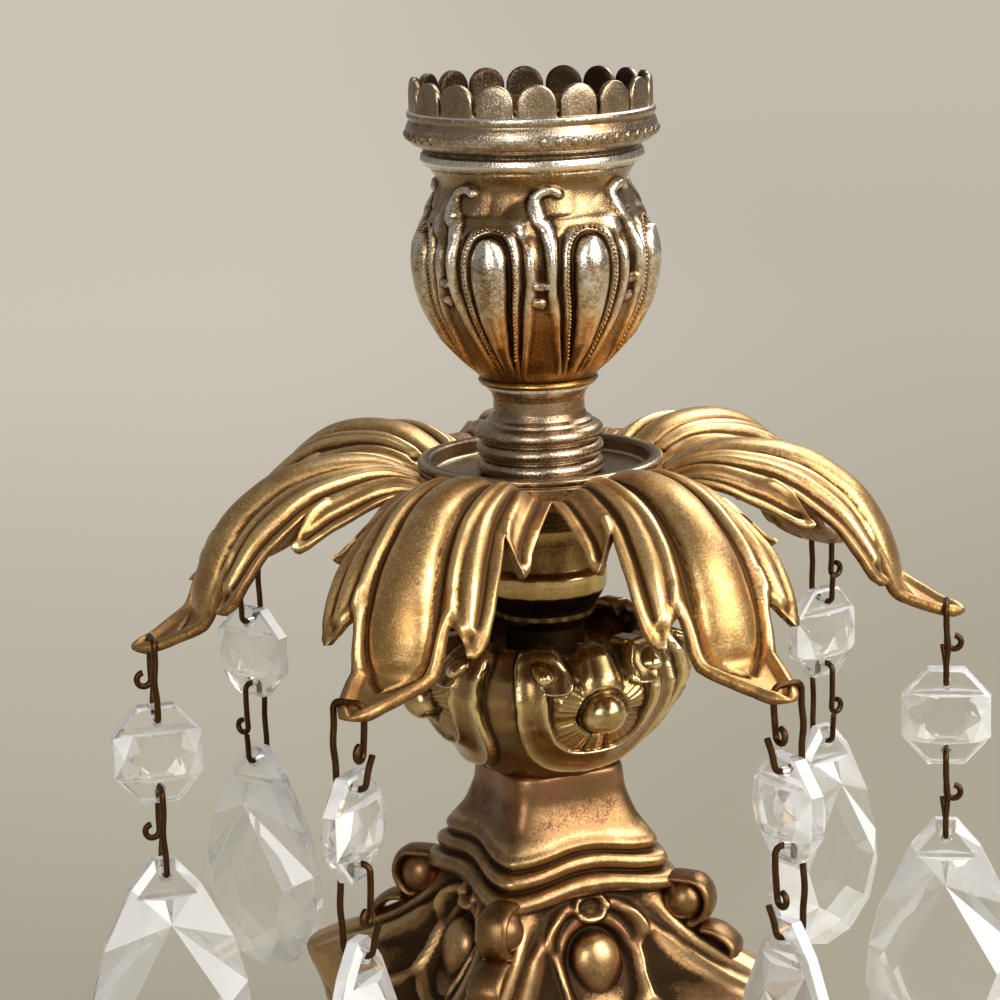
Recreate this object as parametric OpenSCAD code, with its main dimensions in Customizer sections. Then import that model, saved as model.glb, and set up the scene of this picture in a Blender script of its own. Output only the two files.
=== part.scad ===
// Girandole candle holder. A hollow cast base and an open vase carry a turned stem, a drip dish with
// seven cast leaves soldered round it, and a candle cup with a crown. One threaded rod clamps the stack.
// A wire link, a cut bead, a second link and a prism hang from the tip of each leaf.
// Millimetres, +Z up, the axis of the stack is x = y = 0 and the foot stands on z = 0. Front is -Y.

/* [Base] */
// Height of the base, from the table to the seat of the vase
base_h = 70; // [64:0.5:74]
// Radius of a foot corner on the table
foot_corner_r = 44; // [42:0.5:46]
// Radius of the middle of a side on the table
foot_side_r = 29; // [27:0.5:31]
// Angle of the middle of a side, anticlockwise from the front
base_turn = 21.5; // [0:0.1:45]
// Wall of the hollow casting
base_wall = 3; // [2.4:0.1:3.4]
// Solid neck above the hollow
base_neck_t = 18; // [16:0.5:20]

/* [Vase] */
// Height of the vase
vase_h = 20.5; // [18:0.5:22]
// Wall of the vase
vase_wall = 1.8; // [1.4:0.1:2.2]
// Floor of the vase
vase_floor_t = 3; // [2:0.25:4]

/* [Stem and dish] */
// Height of the turned stem, from the vase floor to the underside of the dish
stem_h = 38.5; // [35:0.5:42]
// Radius of the stem's flange
stem_flange_r = 9.2; // [8.6:0.1:9.8]
// Outer radius of the drip dish
dish_r = 17.55; // [16.5:0.05:18.5]
// Width of the dish's rim
dish_rim_w = 2; // [1.4:0.1:2.4]
// Depth of the dish's recess
dish_depth = 2.3; // [1.8:0.1:2.8]
// Floor of the dish
dish_floor_t = 1.2; // [1:0.1:1.6]

/* [Leaves] */
// Number of leaves, each with its chain
leaf_count = 7; // [6:1:7]
// Reach of a leaf from the dish to its tip
leaf_reach = 42.45; // [41:0.25:44]
// Drop of the leaf's tip below the dish's rim
leaf_drop = 22.3; // [21:0.25:24]
// Thickness of a leaf
leaf_t = 1.2; // [1:0.1:1.5]
// Distance of the wire's hole from the leaf's tip
leaf_hole_in = 2.6; // [2.4:0.1:3]

/* [Collar and cup] */
// Height of the ringed collar, from the dish floor to the cup
collar_h = 13; // [12:0.25:14]
// Radius of the collar's spool neck
collar_neck_r = 6.5; // [6:0.1:7.2]
// Radius over the collar's rings
collar_ring_r = 9.1; // [8.6:0.1:9.6]
// Height of the candle cup, from its foot ring to the crown
cup_h = 30.8; // [29:0.2:33]
// Height of the crown's moulded ring
gallery_h = 8; // [7.5:0.1:9]
// Number of tabs round the crown
tab_count = 18; // [14:1:20]
// Height of a tab
tab_h = 4.3; // [3.8:0.1:5]
// Thickness of a tab
tab_t = 1; // [0.8:0.1:1.2]
// Gap between two tabs
tab_gap = 0.6; // [0.4:0.1:1]

/* [Candle socket] */
// Radius of the candle bore
candle_r = 11.3; // [11:0.05:11.5]
// Depth of the candle bore
candle_depth = 26; // [22:0.5:28]
// Wall of the socket
socket_wall = 0.5; // [0.4:0.05:0.6]
// Floor of the socket
socket_floor_t = 0.8; // [0.6:0.1:1.2]

/* [Fastening] */
// Radius of the threaded rod
rod_r = 2.4; // [2:0.1:2.5]
// Distance across the flats of the nuts
nut_af = 8; // [7:0.25:8.5]
// Height of the nuts
nut_h = 4; // [3:0.25:4.5]
// Radius of the washer under the base's neck
washer_r = 7; // [6:0.25:8]
// Thickness of the washer
washer_t = 1.2; // [1:0.1:1.6]

/* [Chains] */
// Radius of the wire
wire_r = 0.45; // [0.35:0.025:0.5]
// Width of a link between the middles of its legs
link_w = 4.4; // [4.2:0.1:4.8]
// Height of the upper link between the middles of its bars
upper_link_h = 11.5; // [10.5:0.25:12.5]
// Height of the lower link between the middles of its bars
lower_link_h = 12.6; // [11.5:0.25:13.5]
// Size of a bead across its flats
bead_size = 14; // [13:0.25:15]
// Thickness of a bead
bead_t = 7.6; // [7:0.1:8.2]
// Distance between a bead's holes
bead_hole_gap = 9.6; // [9:0.1:10.2]
// Length of a prism
prism_l = 36.5; // [34:0.5:38]
// Width of a prism
prism_w = 23; // [21:0.25:23.5]
// Thickness of a prism
prism_t = 9.6; // [8:0.2:11]
// Distance of a prism's hole from its top
prism_hole_in = 2.5; // [2.2:0.1:3]
// Radius of the holes in the glass
glass_hole_r = 0.8; // [0.75:0.05:0.9]
// Thickness of the ground ends where the wire goes through the glass
ground_t = 3.2; // [2.8:0.1:3.3]

/* [Hidden] */
$fn = 64;
chain_index = [for (i = [1:leaf_count]) i];
fixed_nodes = ["base", "vase_knop", "stem_knop", "drip_dish", "ringed_collar", "candle_cup",
    "crown_gallery", "candle_socket", "threaded_rod", "base_washer", "base_nut", "top_nut"];

// Colours of the metals and the glass
gilt = [0.66, 0.47, 0.20];
bronze = [0.43, 0.32, 0.17];
worn_silver = [0.60, 0.52, 0.40];
wire_brown = [0.22, 0.16, 0.10];
clear_glass = [0.90, 0.92, 0.94, 0.5];

// Clearances: a rod in its hole, a sliding liner, a soldered seam, and a wire under what it holds up
rod_gap = 0.2;
liner_gap = 0.15;
seam_gap = 0.05;
wire_gap = 0.1;
cut = 0.5;

// Levels of the stack, from the table up
vase_z = base_h;
vase_floor_z = vase_z + vase_floor_t;
dish_z = vase_floor_z + stem_h;
dish_floor_z = dish_z + dish_floor_t;
rim_z = dish_floor_z + dish_depth;
cup_z = dish_floor_z + collar_h;
gallery_z = cup_z + cup_h;
ledge_z = gallery_z + gallery_h;
roof_z = base_h - base_neck_t;
socket_z = ledge_z - candle_depth - socket_floor_t;
socket_r = candle_r + socket_wall;
rod_hole_r = rod_r + rod_gap;
nut_floor_z = socket_z - liner_gap - cut - nut_h - rod_r;
rod_low_z = roof_z - washer_t - nut_h - rod_r;
rod_high_z = nut_floor_z + nut_h + rod_r;

// A smooth hump of height 1 and half-width w
function hump(x, w) = abs(x) < w ? pow(cos(90 * x / w), 2) : 0;
// The angle to the nearest of n evenly spaced middles
function fold(angle, n) = let (step = 360 / n) angle - step * round(angle / step);
// Points along an arc
function arc(cx, cy, r, from, to, steps) =
    [for (i = [0:steps]) let (a = from + (to - from) * i / steps) [cx + r * cos(a), cy + r * sin(a)]];

// A closed solid through a stack of rings, each anticlockwise seen from above
module ring_stack(rings) {
    n = len(rings[0]);
    last = len(rings) - 1;
    points = [for (ring = rings) each ring];
    sides = [for (i = [0:last - 1], j = [0:n - 1])
        let (k = (j + 1) % n, low = i * n, high = low + n)
        each [[low + j, high + j, high + k], [low + j, high + k, low + k]]];
    bottom = [for (j = [0:n - 1]) j];
    top = [for (j = [0:n - 1]) last * n + n - 1 - j];
    polyhedron(points, concat(sides, [bottom, top]));
}

// A closed sheet between an upper and a lower grid of points
module sheet(upper, lower) {
    rows = len(upper);
    cols = len(upper[0]);
    below = rows * cols;
    points = concat([for (row = upper) each row], [for (row = lower) each row]);
    quads = [for (i = [0:rows - 2], j = [0:cols - 2]) [i * cols + j, i * cols + j + 1,
        (i + 1) * cols + j + 1, (i + 1) * cols + j]];
    rim = concat([for (j = [0:cols - 2]) [j + 1, j]],
        [for (j = [0:cols - 2]) [below - cols + j, below - cols + j + 1]],
        [for (i = [0:rows - 2]) [i * cols, (i + 1) * cols]],
        [for (i = [0:rows - 2]) [(i + 2) * cols - 1, (i + 1) * cols - 1]]);
    polyhedron(points, concat(
        [for (q = quads) each [[q[0], q[1], q[2]], [q[0], q[2], q[3]]]],
        [for (q = quads) each [[below + q[0], below + q[2], below + q[1]],
            [below + q[0], below + q[3], below + q[2]]]],
        [for (e = rim) each [[e[0], e[1], below + e[1]], [e[0], below + e[1], below + e[0]]]]));
}

module rod_hole(low, high) {
    translate([0, 0, low - cut]) cylinder(r = rod_hole_r, h = high - low + 2 * cut);
}

// Base: a square casting with hollowed sides, stepped mouldings, scrolled corners and an oval boss on
// each side. Each row is a height, then the radius at a corner and at the middle of a side.
base_rows = [[-1, foot_corner_r, foot_side_r], [2, foot_corner_r, foot_side_r],
    [7, foot_corner_r - 3.4, foot_side_r - 1.6], [15, 35.4, 25.6], [24, 34.6, 23.2], [31, 36.6, 20.8],
    [35, 38.6, 19.2], [37.4, 38.9, 18.2], [39.4, 36.4, 17.0], [41.6, 31.0, 15.6], [44, 26.0, 14.4],
    [46, 22.4, 13.6], [48, 19.8, 13.1], [50, 18.6, 12.8], [53.2, 17.8, 12.7], [54.1, 20.0, 14.4],
    [55.4, 19.8, 14.2], [56.2, 17.2, 12.4], [57, 18.0, 13.0], [58, 17.8, 12.9], [58.8, 15.8, 11.5],
    [59.8, 16.5, 12.0], [61, 16.0, 11.4], [63.4, 13.2, 9.9], [66.4, 11.6, 9.0], [70, 11.0, 8.8]];
base_drawn_h = base_rows[len(base_rows) - 1][0];
hollow_rows = [[-2, foot_corner_r, foot_side_r], [15, 35.4, 25.6], [31, 36.6, 20.8], [37.4, 34.0, 18.2],
    [44, 24.0, 14.4], [roof_z * base_drawn_h / base_h, 18.0, 12.6]];
// Columns of a quarter of the base, in degrees from the middle of a side, closer together at the corner
base_columns = [0, 8, 15, 21, 27, 32, 36.5, 41, 45, 49, 53.5, 58, 63, 69, 75, 82];
hollow_columns = [0, 11.25, 22.5, 33.75, 45, 56.25, 67.5, 78.75];
// How narrow a corner is, and how far the mouldings dip towards it, by height
corner_sharpness = [[0, 2], [24, 2.2], [36, 3.2], [44, 5.5], [51, 5], [54, 2.6], [70, 2]];
moulding_dip = [[51, 0], [54, 1.5], [61, 1.2], [65, 0]];
volute_at = [20.6, 50.4];
volute_r = 3.1;
knob_at = [26.2, 44.8];
knob_r = 2.3;
boss_at = [14.2, 42];
boss_size = [3.2, 4.3, 5.5];

function base_ring(row, wall, columns) = [for (k = [0:3], column = columns)
    let (a = 90 * k + column, corner = pow(abs(sin(2 * a)), lookup(row[0], corner_sharpness)),
        r = row[2] + (row[1] - row[2]) * corner - wall,
        dip = wall > 0 ? 0 : lookup(row[0], moulding_dip), z = row[0] - dip * corner)
    [r * sin(a), -r * cos(a), z * base_h / base_drawn_h]];
module on_base(angle, at) {
    rotate([0, 0, angle - 90]) translate([at[0], 0, at[1] * base_h / base_drawn_h]) children();
}

module base() {
    color(bronze) rotate([0, 0, base_turn]) difference() {
        union() {
            ring_stack([for (row = base_rows) base_ring(row, 0, base_columns)]);
            for (k = [0:3]) {
                on_base(90 * k + 45, volute_at) sphere(r = volute_r);
                on_base(90 * k + 45, knob_at) sphere(r = knob_r);
                on_base(90 * k, boss_at) scale(boss_size) sphere(r = 1);
            }
        }
        ring_stack([for (row = hollow_rows) base_ring(row, base_wall, hollow_columns)]);
        rod_hole(roof_z, base_h);
        translate([-2 * foot_corner_r, -2 * foot_corner_r, -base_h])
            cube([4 * foot_corner_r, 4 * foot_corner_r, base_h]);
    }
}

// Vase: an open bulb with four shell cartouches, each between two volutes
vase_columns = 56;
vase_levels = [0, 0.07, 0.18, 0.3, 0.42, 0.54, 0.66, 0.76, 0.85, 0.93, 1];
vase_inner_levels = [1, 0.8, 0.5, 0.3];
vase_profile = [[0, 10.1], [0.07, 11.3], [0.2, 13.6], [0.35, 15.8], [0.5, 17.6], [0.65, 18.5], [0.8, 18.0],
    [0.93, 16.3], [1, 15.2]];
cartouche_half = 36;
cartouche_rise = 2.5;
shield_steep = 3;
shield_fade = [[0, 0.3], [0.45, 0.4], [0.7, 1], [0.85, 0.9], [1, 0.5]];
shell_half = 22;
shell_level = 0.55;
shell_depth = 1;
pearl_level = 0.57;
pearl_r = 3;
pearl_out = 1.2;
scroll_angle = 24.5;
scroll_level = 0.9;
scroll_r = 2;

function vase_outer(angle, level) =
    let (a = fold(angle, 4), r = lookup(level, vase_profile),
        shield = min(1, shield_steep * hump(a, cartouche_half)) * lookup(level, shield_fade),
        shell = hump(a, shell_half) * hump(level - shell_level, shell_level))
    r + cartouche_rise * shield - shell_depth * shell;
function vase_ring(level, outer) = [for (j = [0:vase_columns - 1])
    let (a = 360 * j / vase_columns,
        r = outer ? vase_outer(a, level) : lookup(level, vase_profile) - vase_wall)
    [r * sin(a), -r * cos(a), vase_z + level * vase_h]];

module on_vase(angle, level) {
    rotate([0, 0, angle - 90]) translate([vase_outer(angle, level), 0, vase_z + level * vase_h]) children();
}
module vase_knop() {
    inner_floor = vase_floor_t / vase_h;
    outside = [for (level = vase_levels) vase_ring(level, true)];
    inside = [for (level = concat(vase_inner_levels, inner_floor)) vase_ring(level, false)];
    color(bronze) rotate([0, 0, base_turn]) difference() {
        union() {
            ring_stack(concat(outside, inside));
            for (k = [0:3]) {
                on_vase(90 * k, pearl_level) translate([pearl_out, 0, 0]) sphere(r = pearl_r);
                for (s = [-1, 1]) on_vase(90 * k + s * scroll_angle, scroll_level) sphere(r = scroll_r);
            }
        }
        rod_hole(vase_z, vase_floor_z);
    }
}

// Stem: one turning, with a foot in the vase, a spindle, a flanged cup and a bell under the dish
stem_foot_r = 8;
stem_foot_h = 2;
stem_spindle_r = 5.7;
stem_cove_r = 3.3;
stem_cove_end = 250;
stem_ring_r = 7.2;
stem_ring_z = 18.8;
stem_ring_h = 1;
stem_cup_r = 2.6;
stem_cup_z = 23.6;
stem_flange_h = 1.2;
stem_neck_r = 8;
stem_bell_z = 30;
stem_bell_r = 13.5;
stem_bell_end = 128;
stem_step = 0.8;
stem_chamfer = 1.3;
stem_taper = 0.2;
function stem_profile() = concat(
    [[rod_hole_r, 0], [stem_foot_r, 0], [stem_foot_r, stem_foot_h]],
    arc(stem_spindle_r + stem_cove_r, stem_foot_h + stem_cove_r, stem_cove_r, stem_cove_end, 180, 4),
    [[stem_spindle_r, stem_ring_z - stem_chamfer], [stem_ring_r, stem_ring_z],
        [stem_ring_r, stem_ring_z + stem_ring_h]],
    arc(stem_flange_r - stem_cup_r, stem_cup_z, stem_cup_r, -50, 0, 4),
    [[stem_flange_r, stem_cup_z + stem_step], [stem_flange_r, stem_cup_z + stem_step + stem_flange_h],
        [stem_neck_r + stem_taper, stem_cup_z + 2 * stem_step + stem_flange_h], [stem_neck_r, stem_bell_z]],
    arc(stem_bell_r, stem_bell_z, stem_bell_r - stem_neck_r, 180, stem_bell_end, 6),
    [[stem_bell_r, stem_h], [rod_hole_r, stem_h]]);
module stem_knop() {
    color(gilt) translate([0, 0, vase_floor_z]) rotate_extrude() polygon(stem_profile());
}

// Drip dish: a shallow turned tray with a broad rim and a groove round its wall
dish_groove = 0.4;
dish_groove_w = 0.6;
dish_lip = 0.8;
dish_round = 0.3;
module drip_dish() {
    wall_h = dish_floor_t + dish_depth;
    inner_r = dish_r - dish_rim_w;
    groove_z = wall_h - dish_lip - dish_groove_w;
    color(bronze) translate([0, 0, dish_z]) rotate_extrude()
        polygon([[rod_hole_r, 0], [dish_r - dish_groove, 0], [dish_r, dish_groove], [dish_r, groove_z],
            [dish_r - dish_groove, groove_z + dish_groove_w / 2], [dish_r, groove_z + dish_groove_w],
            [dish_r, wall_h - dish_round], [dish_r - dish_round, wall_h],
            [inner_r + dish_round, wall_h], [inner_r, wall_h - dish_round], [inner_r, dish_floor_t],
            [rod_hole_r, dish_floor_t]]);
}

// Leaf: an arched casting drawn along a spine of [out from the dish, up from the rim] points.
// A convex tongue ends short of a spoon-shaped tip, and two pointed fingers lie along each side.
leaf_spine = [[0, -2.2], [6.5, 0.85], [13.4, 1.2], [19.65, -0.25], [24.2, -3], [27.45, -6.1], [30, -10.3],
    [31.7, -14.4], [33.3, -18.9], [38, -21.4], [42.45, -22.3]];
// Rows of a leaf: place along the spine, half-width round its arch, and how far its ends sweep on
leaf_rows = [[-0.6, 6.5, 0], [0.4, 9.6, 0.5], [1.2, 12.4, 1.1], [1.9, 14.8, 1.5], [2.45, 14.6, 1.7],
    [2.75, 10.2, 0.3], [3.6, 11.4, 0.5], [4.9, 12, 0.95], [5.7, 11.4, 1.15], [6.05, 9.9, 1.25],
    [6.35, 6.9, 0.15], [7.4, 6.5, 0], [8.3, 6.1, 0], [9, 4.9, 0], [9.5, 2.45, 0], [10, 0.7, 0]];
sweep_power = 4;
// Curvature of the arch, which turns to a hollow at the tip
leaf_bend = [[0, 0.09], [1, 0.085], [2, 0.072], [3, 0.06], [4, 0.05], [5.5, 0.035], [7, 0.02], [8, 0],
    [8.7, -0.02], [10, -0.03]];
tongue_half = [[0, 2.2], [3, 2.8], [4, 3], [5.6, 3.6], [6.7, 3.9], [7.7, 3.2], [8.2, 1.2], [9.5, 0.7],
    [10, 0.2]];
tongue_share = 0.2;
tongue_rise = [[0, 0.8], [3, 1.3], [6, 1.5], [7.6, 1.1], [8.3, 0], [10, 0]];
rim_rise = 0.45;
// Distance of the ridge beside the tongue, and the width that it needs
rim_gap = 2.1;
rim_room = 4;
groove_at = 0.9;
groove_depth = 0.35;
// Rounding of the tongue, as shares of its half-width and of its rise, and the swell of the outer field
tongue_round = [[0, 1], [0.55, 0.85], [0.92, 0.4]];
field_rise = 0.1;

spine_last = len(leaf_spine) - 1;
spine_probe = 0.05;
flat_bend = 0.0001;
spine_scale = [leaf_reach / leaf_spine[spine_last][0], -leaf_drop / leaf_spine[spine_last][1]];
function knot(i) = i < 0 ? 2 * leaf_spine[0] - leaf_spine[1]
    : i > spine_last ? 2 * leaf_spine[spine_last] - leaf_spine[spine_last - 1] : leaf_spine[i];
function spine_drawn(u) =
    let (i = min(max(floor(u), 0), spine_last - 1), t = u - i, a = knot(i - 1), b = knot(i),
        c = knot(i + 1), d = knot(i + 2))
    0.5 * (2 * b + (c - a) * t + (2 * a - 5 * b + 4 * c - d) * t * t + (3 * b - a - 3 * c + d) * t * t * t);
function spine(u) = let (p = spine_drawn(u)) [p[0] * spine_scale[0], p[1] * spine_scale[1]];
function spine_dir(u) = let (v = spine(u + spine_probe) - spine(u - spine_probe)) v / norm(v);

// One point of a leaf: place u on the spine, distance a round the arch and height h off the surface
function leaf_point(u, a, h) =
    let (p = spine(u), d = spine_dir(u), up = [-d[1], d[0]], k = lookup(u, leaf_bend),
        turn = a * k * 180 / PI, flat = abs(k) < flat_bend,
        across = flat ? a : sin(turn) / k, fall = flat ? 0 : (1 - cos(turn)) / k,
        q = p + (h * cos(turn) - fall) * up)
    [dish_r + q[0], across + h * sin(turn), rim_z + q[1]];
function leaf_section(row) =
    let (edge = row[1], tongue = max(lookup(row[0], tongue_half), tongue_share * edge),
        fit = min(1, (edge - tongue) / rim_room),
        rise = lookup(row[0], tongue_rise), rim = tongue + rim_gap * fit)
    concat([for (p = tongue_round) [p[0] * tongue, p[1] * rise]],
        [[tongue + groove_at * fit, -groove_depth * fit], [rim, rim_rise * fit],
            [(rim + edge) / 2, field_rise], [edge, 0]]);
function turned(p, by) = [p[0] * cos(by) - p[1] * sin(by), p[0] * sin(by) + p[1] * cos(by), p[2]];
function leaf_row(row, under, turn) =
    let (section = leaf_section(row), last = len(section) - 1, by = -turn * lookup(row[0], turn_share))
    [for (j = [-last:last])
        let (s = section[abs(j)], u = row[0] + row[2] * pow(s[0] / row[1], sweep_power))
        turned(leaf_point(u, sign(j) * s[0], under ? s[1] / 2 - leaf_t : s[1]), by)];

leaf_step = 360 / leaf_count;
// How far each leaf was soldered from even spacing, in degrees
leaf_shift = [-2, 2.8, 1.9, -2, -0.5, 0, 1.1];
function leaf_angle(i) = (i - 1.5) * leaf_step + leaf_shift[i - 1];
// How far the tip of each leaf was bent to the side of its hook, in degrees, and where along the spine
tip_turn = [2.2, 2.2, 0, 0, 0, 0, 0];
turn_share = [[8, 1], [9.2, 0]];
// Side of the tip that the wire goes round, as its hook was bent
hook_side = [-1, 1, -1, 1, 1, -1, 1];
hook_r = dish_r + leaf_reach - leaf_hole_in;
leaf_hole_r = 1;
leaf_hole_t = 0.9;
chain_t = link_w / 2 - leaf_hole_t;
// Height of the tip's upper face over the spine at the hole, with the wire's gap
tip_rise = 1;
hook_z = rim_z - leaf_drop + tip_rise + wire_r;

// Turns a piece drawn along +X, hooked on its +Y side, to leaf i
module at_leaf(i) {
    rotate([0, 0, leaf_angle(i) - 90]) {
        if (hook_side[i - 1] > 0) children();
        else mirror([0, 1, 0]) children();
    }
}
module leaf(i) {
    upper = [for (row = leaf_rows) leaf_row(row, false, tip_turn[i - 1])];
    lower = [for (row = leaf_rows) leaf_row(row, true, tip_turn[i - 1])];
    color(gilt) at_leaf(i) difference() {
        sheet(upper, lower);
        cylinder(r = dish_r + seam_gap, h = 2 * rim_z);
        translate([hook_r, -leaf_hole_t, rim_z - 2 * leaf_drop]) cylinder(r = leaf_hole_r, h = 2 * leaf_drop);
    }
}

// Ringed collar: a spool neck on three rounded rings
collar_rings = 3;
ring_bead_r = 1.15;
ring_pitch = 2.4;
collar_step = 0.4;
collar_cove_r = 1.6;
collar_cove_end = 235;
collar_lip = 0.9;
collar_lip_h = 1.4;
module ringed_collar() {
    rings_h = collar_rings * ring_pitch;
    core_r = collar_ring_r - ring_bead_r;
    shoulder_r = core_r - collar_step;
    lip_r = collar_neck_r + collar_lip;
    spool = concat([[0, rings_h - cut], [shoulder_r, rings_h - cut], [shoulder_r, rings_h + collar_step]],
        arc(collar_neck_r + collar_cove_r, rings_h + collar_step + collar_cove_r, collar_cove_r,
            collar_cove_end, 180, 4),
        [[collar_neck_r, collar_h - collar_lip_h - collar_lip], [lip_r, collar_h - collar_lip_h],
            [lip_r, collar_h], [0, collar_h]]);
    color(worn_silver) translate([0, 0, dish_floor_z]) difference() {
        union() {
            cylinder(r = core_r, h = rings_h);
            for (k = [1:collar_rings]) translate([0, 0, (k - 0.5) * ring_pitch]) rotate_extrude()
                translate([core_r, 0]) circle(r = ring_bead_r, $fn = 32);
            rotate_extrude() polygon(spool);
        }
        rod_hole(0, collar_h);
    }
}

// Candle cup: a gadrooned bulb with a teardrop lobe over each leaf and a waisted neck.
// The profile is [height over the foot ring, radius over the lobes].
cup_columns = 70;
cup_lobes = 7;
cup_profile = [[0, 8.2], [0.9, 8.2], [1.3, 8.5], [2.8, 10.3], [6.1, 13.1], [9, 15.2], [12, 16.7],
    [15.3, 17.6], [18.3, 17.9], [20.5, 17.6], [22.4, 16.5], [24, 14.9], [25.4, 13.8], [28.4, 13.2],
    [30.8, 14.4]];
cup_drawn_h = 30.8;
lobe_depth = [[1.3, 0], [4, 0.6], [9, 1.4], [20.5, 1.5], [23.5, 0.5], [24.6, 0]];
lobe_half = [[1.3, 7], [9, 10], [18, 14], [21, 13], [24, 8]];
rib_angle = 18.5;
rib_half = 5.5;
rib_share = 0.5;
function cup_r(angle, level) =
    let (a = fold(angle - 180 / cup_lobes, cup_lobes), lobe = hump(a, lookup(level, lobe_half)),
        rib = rib_share * hump(abs(a) - rib_angle, rib_half))
    lookup(level, cup_profile) - lookup(level, lobe_depth) * (1 - max(lobe, rib));
function cup_ring(level) = [for (j = [0:cup_columns - 1])
    let (a = 360 * j / cup_columns, r = cup_r(a, level))
    [r * sin(a), -r * cos(a), cup_z + level * cup_h / cup_drawn_h]];
pocket_gap = 0.6;
nut_corner_r = nut_af / 2 / cos(30);
nut_pocket_r = nut_corner_r + pocket_gap;
module candle_cup() {
    color(worn_silver) difference() {
        ring_stack([for (row = cup_profile) cup_ring(row[0])]);
        translate([0, 0, socket_z - liner_gap]) cylinder(r = socket_r + liner_gap, h = ledge_z - socket_z);
        translate([0, 0, nut_floor_z]) cylinder(r = nut_pocket_r, h = socket_z - nut_floor_z);
        rod_hole(cup_z, nut_floor_z);
    }
}

// Crown gallery: a moulded ring with a row of flat, round-topped tabs
gallery_in_r = socket_r + liner_gap;
gallery_foot_r = 14.4;
gallery_foot_bead_r = 0.95;
gallery_cove_r = 15.2;
ledge_r = 17.3;
ledge_h = 1.1;
gallery_step = 0.4;
band_r = 18;
band_bead_r = 1.4;
band_bead_z = 4.3;
tab_out_r = ledge_r - gallery_step;
tab_in_r = tab_out_r - tab_t;
tab_w = 2 * PI * tab_out_r / tab_count - tab_gap;
module crown_gallery() {
    neck_r = ledge_r - gallery_step;
    profile = concat([[gallery_in_r, 0], [gallery_foot_r, 0]],
        arc(gallery_foot_r + gallery_step, gallery_foot_bead_r, gallery_foot_bead_r, -70, 70, 6),
        [[gallery_cove_r, 2 * gallery_foot_bead_r + gallery_step]],
        arc(band_r - band_bead_r, band_bead_z, band_bead_r, -80, 60, 8),
        [[neck_r, gallery_h - ledge_h - 2 * gallery_step], [neck_r, gallery_h - ledge_h - gallery_step],
            [ledge_r, gallery_h - ledge_h], [ledge_r, gallery_h], [gallery_in_r, gallery_h]]);
    color(worn_silver) translate([0, 0, gallery_z]) {
        rotate_extrude() polygon(profile);
        for (k = [0:tab_count - 1]) rotate([0, 0, 360 * k / tab_count - 90]) crown_tab();
    }
}
module crown_tab() {
    straight = cut + tab_h - tab_w / 2;
    translate([tab_in_r, -tab_w / 2, gallery_h - cut]) cube([tab_t, tab_w, straight]);
    translate([tab_in_r, 0, gallery_h - cut + straight]) rotate([0, 90, 0])
        cylinder(r = tab_w / 2, h = tab_t);
}

// Candle socket: a thin spun liner that hangs from its flange on the crown's ledge
socket_flange_r = tab_in_r - gallery_step;
module candle_socket() {
    color(gilt) difference() {
        union() {
            translate([0, 0, socket_z]) cylinder(r = socket_r, h = ledge_z - socket_z + socket_wall);
            translate([0, 0, ledge_z]) cylinder(r = socket_flange_r, h = socket_wall);
        }
        translate([0, 0, socket_z + socket_floor_t])
            cylinder(r = candle_r, h = candle_depth + socket_wall + cut);
    }
}

// Fastening: the rod, a washer and nut under the base's neck, and a nut in the cup
module hex_nut(z) {
    color(gilt) translate([0, 0, z]) difference() {
        cylinder(r = nut_corner_r, h = nut_h, $fn = 6);
        rod_hole(0, nut_h);
    }
}
module threaded_rod() {
    color(bronze) translate([0, 0, rod_low_z]) cylinder(r = rod_r, h = rod_high_z - rod_low_z);
}
module base_washer() {
    color(gilt) translate([0, 0, roof_z - washer_t]) difference() {
        cylinder(r = washer_r, h = washer_t);
        rod_hole(0, washer_t);
    }
}
module base_nut() {
    hex_nut(roof_z - washer_t - nut_h);
}
module top_nut() {
    hex_nut(nut_floor_z);
}

// Levels of a chain: each wire's bar lies against the edge of the hole that it carries or hangs in
glass_sag = glass_hole_r - wire_r - wire_gap;
bead_bar_z = hook_z - upper_link_h;
bead_z = bead_bar_z - glass_sag - bead_hole_gap / 2;
lower_hook_z = bead_z - bead_hole_gap / 2 - glass_sag;
prism_bar_z = lower_hook_z - lower_link_h;
prism_top_z = prism_bar_z - glass_sag + prism_hole_in;
link_bend = 1;

module at_chain(i, z) {
    at_leaf(i) translate([hook_r, chain_t, z]) children();
}
// A closed wire link in the plane across the leaf, with its top bar at z = 0
module wire_link(height) {
    leg = height - 2 * link_bend;
    bar = link_w - 2 * link_bend;
    for (s = [-1, 1]) {
        translate([0, s * link_w / 2, -height + link_bend]) cylinder(r = wire_r, h = leg);
        translate([0, bar / 2, s > 0 ? 0 : -height]) rotate([90, 0, 0]) cylinder(r = wire_r, h = bar);
        for (top = [0, 1]) translate([0, s * bar / 2, top ? -link_bend : link_bend - height])
            rotate([0, 90, 0]) rotate([0, 0, s > 0 ? (top ? 90 : 0) : (top ? 180 : 270)])
            rotate_extrude(angle = 90) translate([link_bend, 0]) circle(r = wire_r, $fn = 32);
    }
}
module upper_link(i) {
    color(wire_brown) at_chain(i, hook_z) wire_link(upper_link_h);
}
module lower_link(i) {
    color(wire_brown) at_chain(i, lower_hook_z) wire_link(lower_link_h);
}

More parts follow.
